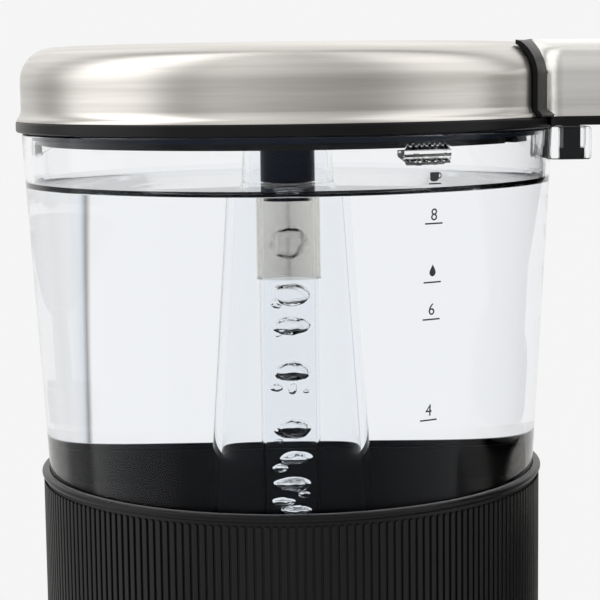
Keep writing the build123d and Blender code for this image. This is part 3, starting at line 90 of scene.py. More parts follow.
backdrop_white, fill_grey, mirror_gain = 0.915, 0.55, 1.62
studio = bpy.data.worlds.new("studio")
scene.world = studio
studio.use_nodes = True
air = studio.node_tree
air.nodes.clear()
seen = air.nodes.new("ShaderNodeTexCoord")
parts = air.nodes.new("ShaderNodeSeparateXYZ")
air.links.new(seen.outputs["Generated"], parts.inputs[0])
front = air.nodes.new("ShaderNodeMath")
front.operation = "MULTIPLY"
front.inputs[1].default_value = -1
air.links.new(parts.outputs["Y"], front.inputs[0])
bearing = air.nodes.new("ShaderNodeMath")
bearing.operation = "ARCTAN2"
air.links.new(parts.outputs["X"], bearing.inputs[0])
air.links.new(front.outputs[0], bearing.inputs[1])
along = air.nodes.new("ShaderNodeMapRange")
along.inputs["From Min"].default_value = -pi
along.inputs["From Max"].default_value = pi
air.links.new(bearing.outputs[0], along.inputs["Value"])
# Each soft box by its bearing in degrees from the front, towards the jug, with the light there.
boxes = air.nodes.new("ShaderNodeValToRGB")
soft_boxes = [
    (-180, 0.9), (-132, 0.9), (-124, 0.44), (-107, 0.40), (-102, 1.6), (-60, 1.6), (-50, 0.46),
    (-38, 0.44), (-33, 0.88), (0, 0.62), (32, 0.44), (42, 0.52), (60, 1.05), (94, 1.1), (105, 0.75),
    (111, 0.18), (118, 0.3), (126, 0.9), (180, 0.9),
]
for number, (degrees, light) in enumerate(soft_boxes):
    spot = (degrees + 180) / 360
    stop = boxes.color_ramp.elements[0] if number == 0 else boxes.color_ramp.elements.new(spot)
    if number == 0:
        boxes.color_ramp.elements.remove(boxes.color_ramp.elements[1])
    stop.position = spot
    stop.color = (light, light * 0.99, light * 0.97, 1)
air.links.new(along.outputs["Result"], boxes.inputs["Fac"])
ceiling = air.nodes.new("ShaderNodeValToRGB")
ceiling_light = [(0.0, 0.5), (0.5, 0.62), (0.72, 0.86), (0.88, 0.94), (1.0, 0.78)]
for number, (height, light) in enumerate(ceiling_light):
    stop = ceiling.color_ramp.elements[number] if number < 2 else ceiling.color_ramp.elements.new(height)
    stop.position = height
    stop.color = (light, light, light, 1)
tilt = air.nodes.new("ShaderNodeMapRange")
tilt.inputs["From Min"].default_value = -1
air.links.new(parts.outputs["Z"], tilt.inputs["Value"])
air.links.new(tilt.outputs["Result"], ceiling.inputs["Fac"])
lit = air.nodes.new("ShaderNodeVectorMath")
lit.operation = "MULTIPLY"
air.links.new(boxes.outputs["Color"], lit.inputs[0])
air.links.new(ceiling.outputs["Color"], lit.inputs[1])
raised_light = air.nodes.new("ShaderNodeVectorMath")
raised_light.operation = "SCALE"
raised_light.inputs["Scale"].default_value = mirror_gain
air.links.new(lit.outputs[0], raised_light.inputs[0])
path = air.nodes.new("ShaderNodeLightPath")
mirrored = air.nodes.new("ShaderNodeMix")
mirrored.data_type = "RGBA"
mirrored.inputs["A"].default_value = (fill_grey, fill_grey, fill_grey, 1)
air.links.new(path.outputs["Is Glossy Ray"], mirrored.inputs["Factor"])
air.links.new(raised_light.outputs[0], mirrored.inputs["B"])
straight = air.nodes.new("ShaderNodeMath")
straight.operation = "MAXIMUM"
air.links.new(path.outputs["Is Camera Ray"], straight.inputs[0])
air.links.new(path.outputs["Is Transmission Ray"], straight.inputs[1])
shown = air.nodes.new("ShaderNodeMix")
shown.data_type = "RGBA"
shown.inputs["B"].default_value = (backdrop_white, backdrop_white, backdrop_white, 1)
air.links.new(straight.outputs[0], shown.inputs["Factor"])
air.links.new(mirrored.outputs["Result"], shown.inputs["A"])
# A dark flag stands behind the tank. Through the water it shows as a thin upright line, with blue before it
# and amber after it. Each colour has its bearing in degrees.
flags = air.nodes.new("ShaderNodeValToRGB")
white, pale_blue, deep_blue = (1.0, 1.0, 1.0), (0.90, 0.93, 0.95), (0.60, 0.69, 0.78)
flag_edge, amber = (0.12, 0.15, 0.2), (1.0, 0.87, 0.70)
flag_slant, flag_turn = -0.64, 0.035
flag_colours = [
    (-180, white), (149, white), (152.6, pale_blue), (154.2, deep_blue), (154.45, flag_edge),
    (154.65, flag_edge), (154.8, amber), (155.5, amber), (156.1, white),
]
for number, (degrees, light) in enumerate(flag_colours):
    spot = (degrees + 180) / 360
    stop = flags.color_ramp.elements[number] if number < 2 else flags.color_ramp.elements.new(spot)
    stop.position = spot
    stop.color = (*light, 1)
lean = air.nodes.new("ShaderNodeMath")
lean.operation = "MULTIPLY_ADD"
lean.inputs[1].default_value = flag_slant
air.links.new(parts.outputs["Z"], lean.inputs[0])
air.links.new(bearing.outputs[0], lean.inputs[2])
past = air.nodes.new("ShaderNodeMapRange")
past.inputs["From Min"].default_value = flag_turn - pi
past.inputs["From Max"].default_value = flag_turn + pi
air.links.new(lean.outputs[0], past.inputs["Value"])
air.links.new(past.outputs["Result"], flags.inputs["Fac"])
through = air.nodes.new("ShaderNodeMix")
through.data_type = "RGBA"
through.blend_type = "MULTIPLY"
air.links.new(path.outputs["Is Transmission Ray"], through.inputs["Factor"])
air.links.new(shown.outputs["Result"], through.inputs["A"])
air.links.new(flags.outputs["Color"], through.inputs["B"])
sky = air.nodes.new("ShaderNodeBackground")
air.links.new(through.outputs["Result"], sky.inputs["Color"])
sky_out = air.nodes.new("ShaderNodeOutputWorld")
air.links.new(sky.outputs[0], sky_out.inputs["Surface"])

for name, place, aim, width, height, power in (
    ("soft_box_left", (-0.95, -0.35, 0.45), (tower_x, 0, 0.2), 0.7, 1.0, 4.2),
    ("soft_box_right", (0.95, -0.35, 0.45), (stand_x, 0, 0.2), 0.7, 1.0, 3.4),
    ("soft_box_top", (0.0, -0.1, 1.1), (0, 0, 0.2), 0.9, 0.9, 4.2),
):
    lamp = bpy.data.lights.new(name, "AREA")
    lamp.shape = "RECTANGLE"
    lamp.size = width
    lamp.size_y = height
    lamp.energy = power
    holder = bpy.data.objects.new(name, lamp)
    scene.collection.objects.link(holder)
    holder.location = place
    holder.rotation_euler = (Vector(place) - Vector(aim)).to_track_quat("Z", "Y").to_euler()
    holder.visible_camera = False
    holder.visible_glossy = False
    holder.visible_transmission = False

floor_r = 0.42
bpy.ops.object.select_all(action="DESELECT")
bpy.ops.mesh.primitive_circle_add(vertices=96, radius=floor_r, fill_type="NGON", location=(0, 0, 0))
floor = bpy.context.object
floor.name = "studio_floor"
paper = bpy.data.materials.new("pale_paper")
paper.use_nodes = True
paper_tree = paper.node_tree
paper_shader = paper_tree.nodes["Principled BSDF"]
paper_shader.inputs["Roughness"].default_value = 0.9
paper_noise = paper_tree.nodes.new("ShaderNodeTexNoise")
paper_noise.inputs["Scale"].default_value = 240
paper_where = paper_tree.nodes.new("ShaderNodeTexCoord")
paper_tree.links.new(paper_where.outputs["Object"], paper_noise.inputs["Vector"])
paper_tint = paper_tree.nodes.new("ShaderNodeValToRGB")
paper_tint.color_ramp.elements[0].color = (0.84, 0.84, 0.835, 1)
paper_tint.color_ramp.elements[1].color = (0.88, 0.88, 0.875, 1)
paper_tree.links.new(paper_noise.outputs["Fac"], paper_tint.inputs["Fac"])
paper_tree.links.new(paper_tint.outputs["Color"], paper_shader.inputs["Base Color"])
floor.data.materials.append(paper)

# The base: two black mouldings screwed together over rubber feet, with a brushed plate for the jug
# and a cord gland at the back. The mouldings have a fine spark-eroded grain.
grain = bpy.data.node_groups.new("mould_grain", "ShaderNodeTree")
for name, kind, default in (
    ("Vector", "NodeSocketVector", None),
    ("Size", "NodeSocketFloat", 2500.0),
    ("Patch Size", "NodeSocketFloat", 30.0),
):
    socket = grain.interface.new_socket(name=name, in_out="INPUT", socket_type=kind)
    if default is not None:
        socket.default_value = default
grain.interface.new_socket(name="Height", in_out="OUTPUT", socket_type="NodeSocketFloat")
grain.interface.new_socket(name="Patch", in_out="OUTPUT", socket_type="NodeSocketFloat")
grain_in = grain.nodes.new("NodeGroupInput")
grain_out = grain.nodes.new("NodeGroupOutput")
pebbles = grain.nodes.new("ShaderNodeTexNoise")
pebbles.inputs["Detail"].default_value = 3
clouds = grain.nodes.new("ShaderNodeTexNoise")
clouds.inputs["Detail"].default_value = 5
clouds.inputs["Roughness"].default_value = 0.6
grain.links.new(grain_in.outputs["Vector"], pebbles.inputs["Vector"])
grain.links.new(grain_in.outputs["Size"], pebbles.inputs["Scale"])
grain.links.new(grain_in.outputs["Vector"], clouds.inputs["Vector"])
grain.links.new(grain_in.outputs["Patch Size"], clouds.inputs["Scale"])
grain.links.new(pebbles.outputs["Fac"], grain_out.inputs["Height"])
grain.links.new(clouds.outputs["Fac"], grain_out.inputs["Patch"])


def finish(
    name, dark, pale, sleek, dull, size, depth, metal=0.0, stretch=(1, 1, 1), patch=30.0, bite=0.02, shine=0.5
):
    """A moulded, cast or rolled finish: its colour and gloss drift in patches, over a fine grain,
    which may be drawn out. The grain's bite is in millimetres."""
    made = bpy.data.materials.new(name)
    made.use_nodes = True
    tree = made.node_tree
    shader = tree.nodes["Principled BSDF"]
    shader.inputs["Metallic"].default_value = metal
    shader.inputs["Specular IOR Level"].default_value = shine
    where = tree.nodes.new("ShaderNodeTexCoord")
    drawn = tree.nodes.new("ShaderNodeMapping")
    drawn.inputs["Scale"].default_value = stretch
    tree.links.new(where.outputs["Object"], drawn.inputs["Vector"])
    skin = tree.nodes.new("ShaderNodeGroup")
    skin.node_tree = grain
    skin.inputs["Size"].default_value = size
    skin.inputs["Patch Size"].default_value = patch
    tree.links.new(drawn.outputs["Vector"], skin.inputs["Vector"])
    tint = tree.nodes.new("ShaderNodeValToRGB")
    tint.color_ramp.elements[0].position = 0.3
    tint.color_ramp.elements[0].color = (*dark, 1)
    tint.color_ramp.elements[1].position = 0.7
    tint.color_ramp.elements[1].color = (*pale, 1)
    tree.links.new(skin.outputs["Patch"], tint.inputs["Fac"])
    tree.links.new(tint.outputs["Color"], shader.inputs["Base Color"])
    gloss = tree.nodes.new("ShaderNodeMapRange")
    gloss.inputs["From Min"].default_value = 0.3
    gloss.inputs["From Max"].default_value = 0.7
    gloss.inputs["To Min"].default_value = sleek
    gloss.inputs["To Max"].default_value = dull
    tree.links.new(skin.outputs["Patch"], gloss.inputs["Value"])
    tree.links.new(gloss.outputs["Result"], shader.inputs["Roughness"])
    relief = tree.nodes.new("ShaderNodeBump")
    relief.inputs["Strength"].default_value = depth
    relief.inputs["Distance"].default_value = bite / 1000
    tree.links.new(skin.outputs["Height"], relief.inputs["Height"])
    tree.links.new(relief.outputs["Normal"], shader.inputs["Normal"])
    return made


plain_corner = 32


def smoothed(piece, corner):
    """Curves shaded smooth up to this corner angle, with each flat kept flat up to the curve beside it."""
    bpy.ops.object.select_all(action="DESELECT")
    piece.select_set(True)
    bpy.context.view_layer.objects.active = piece
    bpy.ops.object.shade_smooth_by_angle(angle=radians(corner))
    even = piece.modifiers.new("even", "WEIGHTED_NORMAL")
    even.mode = "FACE_AREA"
    even.weight = 100
    even.keep_sharp = True
    bpy.ops.object.modifier_apply(modifier="even")


def as_made(node, material):
    """The CAD solid as it is: its triangles joined in a copy, its curves smooth, and its finish put on."""
    bpy.ops.object.select_all(action="DESELECT")
    piece = bpy.data.objects.new(node + "_made", frame["nodes"][node].data.copy())
    scene.collection.objects.link(piece)
    piece.select_set(True)
    bpy.context.view_layer.objects.active = piece
    bpy.ops.object.mode_set(mode="EDIT")
    bpy.ops.mesh.select_all(action="SELECT")
    bpy.ops.mesh.remove_doubles(threshold=0.000001)
    bpy.ops.object.mode_set(mode="OBJECT")
    smoothed(piece, plain_corner)
    piece.data.materials.clear()
    piece.data.materials.append(material)
    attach(piece, frame["nodes"][node]["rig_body"])
    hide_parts(node)
    return piece


def dressed(node, material):
    """A solid that stays as it is and gets its finish."""
    for held in frame["nodes"][node].material_slots:
        held.material = material


black_moulding = finish(
    "black_moulding", (0.006, 0.006, 0.0065), (0.011, 0.011, 0.0115), 0.42, 0.52, 2600, 0.35, shine=0.2
)
foot_rubber = finish("foot_rubber", (0.012, 0.012, 0.012), (0.024, 0.024, 0.023), 0.7, 0.85, 1400, 0.4)
screw_zinc = finish("screw_zinc", (0.5, 0.5, 0.49), (0.62, 0.62, 0.6), 0.3, 0.42, 900, 0.2, metal=1.0)
rolled_steel = finish(
    "rolled_steel",
    (0.48, 0.48, 0.48),
    (0.6, 0.6, 0.59),
    0.28,
    0.4,
    1300,
    0.15,
    metal=1.0,
    stretch=(0.08, 1, 1),
)
for node in ("base_shell", "base_cover", "cable_gland", "gland_nut"):
    as_made(node, black_moulding)
as_made("rubber_feet", foot_rubber)
for node in ("cover_screws", "tower_screws", "heater_screws", "board_screws"):
    dressed(node, screw_zinc)


def turned(name, centre_x, outline, rounded=(), steps=192, sweep=360.0, start=0.0):
    """A solid drawn as its half outline in millimetres, corner after corner, rounded and spun round an
    upright axis, all the way or through a sweep in degrees from a starting bearing."""
    bpy.ops.object.select_all(action="DESELECT")
    bpy.ops.mesh.primitive_plane_add(size=0.001, location=(0, 0, 0))
    piece = bpy.context.object
    piece.name = name
    points = [Vector((centre_x + r / 1000, 0, z / 1000)) for r, z in outline]
    bpy.ops.object.mode_set(mode="EDIT")
    bpy.ops.mesh.select_all(action="SELECT")
    bpy.ops.mesh.merge(type="CENTER")
    bpy.ops.transform.translate(value=points[0])
    for here, there in zip(points, points[1:] + points[:1]):
        bpy.ops.mesh.extrude_region_move(TRANSFORM_OT_translate={"value": there - here})
    bpy.ops.mesh.select_all(action="SELECT")
    bpy.ops.mesh.remove_doubles(threshold=0.000001)
    for number, offset, segments in rounded:
        bpy.ops.mesh.select_all(action="DESELECT")
        bpy.ops.object.mode_set(mode="OBJECT")
        nearest = min(piece.data.vertices, key=lambda corner: (corner.co - points[number]).length)
        nearest.select = True
        bpy.ops.object.mode_set(mode="EDIT")
        bpy.ops.mesh.bevel(offset=offset / 1000, segments=segments, affect="VERTICES")
    bpy.ops.mesh.select_all(action="SELECT")
    bpy.ops.mesh.spin(steps=steps, angle=radians(sweep), center=(centre_x, 0, 0), axis=(0, 0, 1))
    bpy.ops.mesh.select_all(action="SELECT")
    bpy.ops.mesh.remove_doubles(threshold=0.000002)
    bpy.ops.mesh.delete_loose()
    if sweep < 360:
        bpy.ops.mesh.select_all(action="SELECT")
        bpy.ops.mesh.fill_holes(sides=0)
    bpy.ops.mesh.select_all(action="SELECT")
    bpy.ops.mesh.normals_make_consistent(inside=False)
    bpy.ops.object.mode_set(mode="OBJECT")
    if start:
        about = Matrix.Translation((centre_x, 0, 0)) @ Matrix.Rotation(radians(start), 4, "Z")
        piece.matrix_world = about @ Matrix.Translation((-centre_x, 0, 0))
        bpy.ops.object.transform_apply(location=True, rotation=True, scale=True)
    smoothed(piece, plain_corner)
    return piece


def fitted(piece, material, slot, body, *nodes):
    """The finish put on a new piece, which stands for these solids and moves with their body."""
    piece.data.materials.clear()
    piece.data.materials.append(material)
    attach(piece, body)
    if nodes:
        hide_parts(*nodes)
    return piece


# The stand plate and all the round steelwork: stainless sheet, brushed while it turned,
# so the fine lines run in circles round each piece's axis.
brushing = bpy.data.node_groups.new("turned_brushing", "ShaderNodeTree")
for name, kind, default in (("Vector", "NodeSocketVector", None), ("Lines", "NodeSocketFloat", 4200.0)):
    socket = brushing.interface.new_socket(name=name, in_out="INPUT", socket_type=kind)
    if default is not None:
        socket.default_value = default
for name in ("Height", "Shade", "Smudge"):
    brushing.interface.new_socket(name=name, in_out="OUTPUT", socket_type="NodeSocketFloat")
brush_in = brushing.nodes.new("NodeGroupInput")
brush_out = brushing.nodes.new("NodeGroupOutput")
strokes = brushing.nodes.new("ShaderNodeTexNoise")
strokes.inputs["Detail"].default_value = 6
strokes.inputs["Roughness"].default_value = 0.7
streaks = brushing.nodes.new("ShaderNodeTexNoise")
streaks.inputs["Scale"].default_value = 420
streaks.inputs["Detail"].default_value = 4
smudges = brushing.nodes.new("ShaderNodeTexNoise")
smudges.inputs["Scale"].default_value = 26
smudges.inputs["Detail"].default_value = 5
brushing.links.new(brush_in.outputs["Vector"], strokes.inputs["Vector"])
brushing.links.new(brush_in.outputs["Lines"], strokes.inputs["Scale"])
brushing.links.new(brush_in.outputs["Vector"], streaks.inputs["Vector"])
brushing.links.new(brush_in.outputs["Vector"], smudges.inputs["Vector"])
brushing.links.new(strokes.outputs["Fac"], brush_out.inputs["Height"])
brushing.links.new(streaks.outputs["Fac"], brush_out.inputs["Shade"])
brushing.links.new(smudges.outputs["Fac"], brush_out.inputs["Smudge"])


def brushed(name, centre_x=None, dark=(0.50, 0.485, 0.46), pale=(0.66, 0.645, 0.62)):
    """Brushed stainless: the lines go round an upright axis through centre_x, or along X without one."""
    sleek, dull, spin = 0.2, 0.3, 0.03
    made = bpy.data.materials.new(name)
    made.use_nodes = True
    tree = made.node_tree
    shader = tree.nodes["Principled BSDF"]
    shader.inputs["Metallic"].default_value = 1
    where = tree.nodes.new("ShaderNodeTexCoord")
    combed = tree.nodes.new("ShaderNodeMapping")
    lay = tree.nodes.new("ShaderNodeTangent")
    if centre_x is None:
        combed.inputs["Scale"].default_value = (0.015, 1, 1)
        tree.links.new(where.outputs["Object"], combed.inputs["Vector"])
        lines = combed.outputs["Vector"]
    else:
        combed.inputs["Location"].default_value = (-centre_x, 0, 0)
        tree.links.new(where.outputs["Object"], combed.inputs["Vector"])
        apart = tree.nodes.new("ShaderNodeSeparateXYZ")
        tree.links.new(combed.outputs["Vector"], apart.inputs[0])
        flat = tree.nodes.new("ShaderNodeCombineXYZ")
        tree.links.new(apart.outputs["X"], flat.inputs["X"])
        tree.links.new(apart.outputs["Y"], flat.inputs["Y"])
        reach = tree.nodes.new("ShaderNodeVectorMath")
        reach.operation = "LENGTH"
        tree.links.new(flat.outputs[0], reach.inputs[0])
        stroke = tree.nodes.new("ShaderNodeMath")
        stroke.operation = "SUBTRACT"
        tree.links.new(apart.outputs["Z"], stroke.inputs[0])
        tree.links.new(reach.outputs["Value"], stroke.inputs[1])
        slow = tree.nodes.new("ShaderNodeVectorMath")
        slow.operation = "SCALE"
        slow.inputs["Scale"].default_value = spin
        tree.links.new(flat.outputs[0], slow.inputs[0])
        raised = tree.nodes.new("ShaderNodeCombineXYZ")
        tree.links.new(stroke.outputs[0], raised.inputs["Z"])
        wound = tree.nodes.new("ShaderNodeVectorMath")
        wound.operation = "ADD"
        tree.links.new(slow.outputs[0], wound.inputs[0])
        tree.links.new(raised.outputs[0], wound.inputs[1])
        lines = wound.outputs[0]
        lay.direction_type = "RADIAL"
        lay.axis = "Z"
        tree.links.new(lay.outputs["Tangent"], shader.inputs["Tangent"])
        shader.inputs["Anisotropic"].default_value = 0.75
    skin = tree.nodes.new("ShaderNodeGroup")
    skin.node_tree = brushing
    tree.links.new(lines, skin.inputs["Vector"])
    tint = tree.nodes.new("ShaderNodeValToRGB")
    tint.color_ramp.elements[0].position = 0.28
    tint.color_ramp.elements[0].color = (*dark, 1)
    tint.color_ramp.elements[1].position = 0.72
    tint.color_ramp.elements[1].color = (*pale, 1)
    tree.links.new(skin.outputs["Shade"], tint.inputs["Fac"])
    tree.links.new(tint.outputs["Color"], shader.inputs["Base Color"])
    gloss = tree.nodes.new("ShaderNodeMapRange")
    gloss.inputs["From Min"].default_value = 0.3
    gloss.inputs["From Max"].default_value = 0.7
    gloss.inputs["To Min"].default_value = sleek
    gloss.inputs["To Max"].default_value = dull
    tree.links.new(skin.outputs["Smudge"], gloss.inputs["Value"])
    tree.links.new(gloss.outputs["Result"], shader.inputs["Roughness"])
    relief = tree.nodes.new("ShaderNodeBump")
    relief.inputs["Strength"].default_value = 0.3
    relief.inputs["Distance"].default_value = 0.00002
    tree.links.new(skin.outputs["Height"], relief.inputs["Height"])
    tree.links.new(relief.outputs["Normal"], shader.inputs["Normal"])
    return made


tower_steel = brushed("tower_steel", tower_x)
stand_steel = brushed("stand_steel", stand_x)
plate_r, plate_low_z, plate_high_z = 56.8, 18.7, 20.5
stand_disc = turned(
    "stand_disc",
    stand_x,
    [(0, plate_low_z), (plate_r, plate_low_z), (plate_r, plate_high_z), (0, plate_high_z)],
    rounded=[(2, 0.5, 4)],
    steps=160,
)
fitted(stand_disc, stand_steel, "brushed_steel", "machine", "stand_plate")

# The tower: one black moulding with screw posts, a vented back and a button in its plain band.
# The button slides in a translucent ring that a lamp lights from behind.
satin_black = finish(
    "satin_black", (0.004, 0.004, 0.0045), (0.007, 0.007, 0.0075), 0.26, 0.36, 1800, 0.12, shine=0.16
)
lit_ring = finish("lit_ring", (0.78, 0.78, 0.76), (0.86, 0.86, 0.84), 0.3, 0.4, 900, 0.1)
natural_nylon = finish("natural_nylon", (0.68, 0.66, 0.6), (0.78, 0.76, 0.7), 0.45, 0.6, 1500, 0.25)
heat_black = finish(
    "heat_black", (0.003, 0.0045, 0.006), (0.0055, 0.007, 0.0085), 0.45, 0.55, 2600, 0.35, shine=0.1
)
as_made("tower_housing", heat_black)
as_made("light_ring", lit_ring)
as_made("power_button", satin_black)
as_made("switch_plunger", natural_nylon)
as_made("switch_body", black_moulding)

# The sleeve: a soft black skin over the tower with 210 upright ribs, each with a flat crown and broken edges.
# One rib with its share of the skin is shaped, then copied round the tower and joined.
sleeve_low, sleeve_high = 0.0480, 0.1732
skin_r, crown_r, rib_w, rib_count = 0.0610, 0.0615, 0.00124, 210
rib_low, rib_high = 0.0488, 0.1724
half_step = pi / rib_count
ribbed_skin = finish(
    "ribbed_skin", (0.004, 0.004, 0.0043), (0.007, 0.007, 0.0073), 0.40, 0.50, 3200, 0.25, shine=0.22
)
bpy.ops.object.select_all(action="DESELECT")
bpy.ops.mesh.primitive_plane_add(
    size=1,
    location=(tower_x, -skin_r * cos(half_step), (sleeve_low + sleeve_high) / 2),
    rotation=(pi / 2, 0, 0),
)
sleeve = bpy.context.object
sleeve.name = "sleeve_skin"
sleeve.scale = (2 * skin_r * sin(half_step), sleeve_high - sleeve_low, 1)
bpy.ops.object.transform_apply(location=True, rotation=True, scale=True)
bpy.ops.object.mode_set(mode="EDIT")
for place, across in (
    ((tower_x - rib_w / 2, 0, 0), (1, 0, 0)),
    ((tower_x + rib_w / 2, 0, 0), (1, 0, 0)),
    ((0, 0, rib_low), (0, 0, 1)),
    ((0, 0, rib_high), (0, 0, 1)),
):
    bpy.ops.mesh.select_all(action="SELECT")
    bpy.ops.mesh.bisect(plane_co=place, plane_no=across)
bpy.ops.mesh.select_all(action="DESELECT")
bpy.ops.object.mode_set(mode="OBJECT")
for face in sleeve.data.polygons:
    face.select = abs(face.center.x - tower_x) < rib_w / 4 and rib_low < face.center.z < rib_high
bpy.ops.object.mode_set(mode="EDIT")
bpy.ops.mesh.select_mode(type="FACE")
rib_rise = skin_r * cos(half_step) - crown_r
bpy.ops.mesh.extrude_region_move(TRANSFORM_OT_translate={"value": (0, rib_rise, 0)})
bpy.ops.mesh.select_mode(type="EDGE")
bpy.ops.mesh.select_all(action="DESELECT")
bpy.ops.object.mode_set(mode="OBJECT")
corners = sleeve.data.vertices
for edge in sleeve.data.edges:
    one, other = (corners[number].co for number in edge.vertices)
    edge.select = abs(one.y - other.y) > 0.0002 and max(one.z, other.z) > rib_low - 0.0001
bpy.ops.object.mode_set(mode="EDIT")
bpy.ops.mesh.bevel(offset=rib_w * 0.42, segments=4)
bpy.ops.mesh.select_all(action="DESELECT")
bpy.ops.object.mode_set(mode="OBJECT")
corners = sleeve.data.vertices
for edge in sleeve.data.edges:
    edge.select = all(corners[number].co.y < -crown_r + 0.00001 for number in edge.vertices)
bpy.ops.object.mode_set(mode="EDIT")
bpy.ops.mesh.bevel(offset=0.00018, segments=3)
for end, steps in (
    (sleeve_high, ((0.0005, 0), (0.0011, 0), (0, sleeve_low - sleeve_high))),
    (sleeve_low, ((0.0005, 0), (0.0011, 0))),
):
    bpy.ops.mesh.select_all(action="DESELECT")
    bpy.ops.object.mode_set(mode="OBJECT")
    corners = sleeve.data.vertices
    for edge in sleeve.data.edges:
        edge.select = all(abs(corners[number].co.z - end) < 0.00001 for number in edge.vertices)
    bpy.ops.object.mode_set(mode="EDIT")
    for inwards, upwards in steps:
        bpy.ops.mesh.extrude_region_move(TRANSFORM_OT_translate={"value": (0, inwards, upwards)})
bpy.ops.mesh.select_mode(type="VERT")
bpy.ops.mesh.select_all(action="SELECT")
bpy.ops.mesh.spin(steps=rib_count, dupli=True, angle=2 * pi, center=(tower_x, 0, 0), axis=(0, 0, 1))
bpy.ops.mesh.select_all(action="SELECT")
bpy.ops.mesh.remove_doubles(threshold=0.000004)
bpy.ops.mesh.normals_make_consistent(inside=False)
bpy.ops.object.mode_set(mode="OBJECT")
smoothed(sleeve, 40)
fitted(sleeve, ribbed_skin, "ribbed_black", "machine", "ribbed_sleeve")

rim = turned(
    "satin_rim",
    tower_x,
    [
        (60.15, 173.2), (61.3, 173.2), (61.6, 173.5), (62.0, 174.1), (61.8, 174.7), (61.0, 175.0),
        (60.15, 175.0),
    ],
    rounded=[(1, 0.25, 2), (3, 0.35, 3), (4, 0.35, 3), (5, 0.3, 3)],
    steps=256,
)
fitted(rim, satin_black, "satin_black", "machine", "housing_rim")

# The tank: clear moulded plastic with polished walls, drawn to a smaller foot inside the tower,
# with an outlet in its floor, three lid stops inside and the arm's socket outside.


def clear_moulding(name, tint, index, lines=0.04):
    """Clear plastic with the faint flow lines and the slight wave of a moulded wall, and weak reflections."""
    made = bpy.data.materials.new(name)
    made.use_nodes = True
    tree = made.node_tree
    shader = tree.nodes["Principled BSDF"]
    shader.inputs["Transmission Weight"].default_value = 1
    shader.inputs["IOR"].default_value = index
    shader.inputs["Specular Tint"].default_value = (0.1, 0.11, 0.13, 1)
    shader.inputs["Roughness"].default_value = 0
    where = tree.nodes.new("ShaderNodeTexCoord")
    drawn = tree.nodes.new("ShaderNodeMapping")
    drawn.inputs["Scale"].default_value = (1, 1, 0.3)
    tree.links.new(where.outputs["Object"], drawn.inputs["Vector"])
    flow = tree.nodes.new("ShaderNodeGroup")
    flow.node_tree = grain
    flow.inputs["Size"].default_value = 90
    flow.inputs["Patch Size"].default_value = 14
    tree.links.new(drawn.outputs["Vector"], flow.inputs["Vector"])
    shade = tree.nodes.new("ShaderNodeValToRGB")
    shade.color_ramp.elements[0].color = (*[part * 0.985 for part in tint], 1)
    shade.color_ramp.elements[1].color = (*tint, 1)
    tree.links.new(flow.outputs["Patch"], shade.inputs["Fac"])
    tree.links.new(shade.outputs["Color"], shader.inputs["Base Color"])
    wave = tree.nodes.new("ShaderNodeBump")
    wave.inputs["Strength"].default_value = lines
    wave.inputs["Distance"].default_value = 0.0002
    tree.links.new(flow.outputs["Height"], wave.inputs["Height"])
    tree.links.new(wave.outputs["Normal"], shader.inputs["Normal"])
    return made


def cut_or_joined(piece, tool, operation):
    """The piece with a second solid joined to it or cut out of it."""
    change = piece.modifiers.new("change", "BOOLEAN")
    change.operation = operation
    change.solver = "EXACT"
    change.object = tool
    bpy.ops.object.select_all(action="DESELECT")
    piece.select_set(True)
    bpy.context.view_layer.objects.active = piece
    bpy.ops.object.modifier_apply(modifier="change")
    bpy.data.objects.remove(tool)


def block(name, low, high, bevel):
    """A block between two corners in millimetres, with its edges broken."""
    bpy.ops.object.select_all(action="DESELECT")
    middle = [(a + b) / 2000 for a, b in zip(low, high)]
    bpy.ops.mesh.primitive_cube_add(size=1, location=middle)
    piece = bpy.context.object
    piece.name = name
    piece.scale = [(b - a) / 1000 for a, b in zip(low, high)]
    bpy.ops.object.transform_apply(location=True, rotation=True, scale=True)
    bpy.ops.object.mode_set(mode="EDIT")
    bpy.ops.mesh.select_all(action="SELECT")
    bpy.ops.mesh.bevel(offset=bevel / 1000, segments=3)
    bpy.ops.object.mode_set(mode="OBJECT")
    return piece


tower_mm = tower_x * 1000
clear_plastic = clear_moulding("clear_plastic", (0.985, 0.992, 1.0), 1.49)
tank = turned(
    "clear_tank",
    tower_x,
    [
        (7.6, 143.5), (58.24, 143.5), (64.026, 248.5), (64.5, 257.1), (62.5, 257.1), (62.131, 250.4),
        (56.38, 146), (7.6, 146),
    ],
    rounded=[(1, 1.8, 6), (3, 0.5, 3), (4, 0.5, 3), (6, 4.2, 8)],
    steps=288,
)
outlet_x, outlet_y = tower_x - 0.026, 0.016
outlet = turned("tank_outlet", outlet_x, [(3.6, 131.5), (5.0, 131.5), (5.0, 144.5), (3.6, 144.5)], steps=48)
outlet.location.y = outlet_y
bpy.ops.object.transform_apply(location=True, rotation=True, scale=True)
drain = turned("tank_drain", outlet_x, [(0, 143.9), (3.6, 143.9), (3.6, 147), (0, 147)], steps=48)
drain.location.y = outlet_y
bpy.ops.object.transform_apply(location=True, rotation=True, scale=True)
cut_or_joined(tank, drain, "DIFFERENCE")
cut_or_joined(tank, outlet, "UNION")
socket_block = block("socket_block", (tower_mm + 63.2, -9, 249.1), (tower_mm + 73.5, 9, 257.1), 0.8)
cut_or_joined(tank, socket_block, "UNION")
socket_hole = block("socket_hole", (tower_mm + 65.7, -5.9, 247), (tower_mm + 72.3, 5.9, 259), 0.3)
cut_or_joined(tank, socket_hole, "DIFFERENCE")
for start in (-55.5, 64.5, 184.5):
    stop_lug = turned(
        "lid_stop",
        tower_x,
        [(59.0, 252.55), (63.2, 251.1), (63.2, 253.9), (59.0, 253.9)],
        rounded=[(0, 0.3, 2), (3, 0.3, 2)],
        steps=12,
        sweep=11,
        start=start,
    )
    cut_or_joined(tank, stop_lug, "UNION")
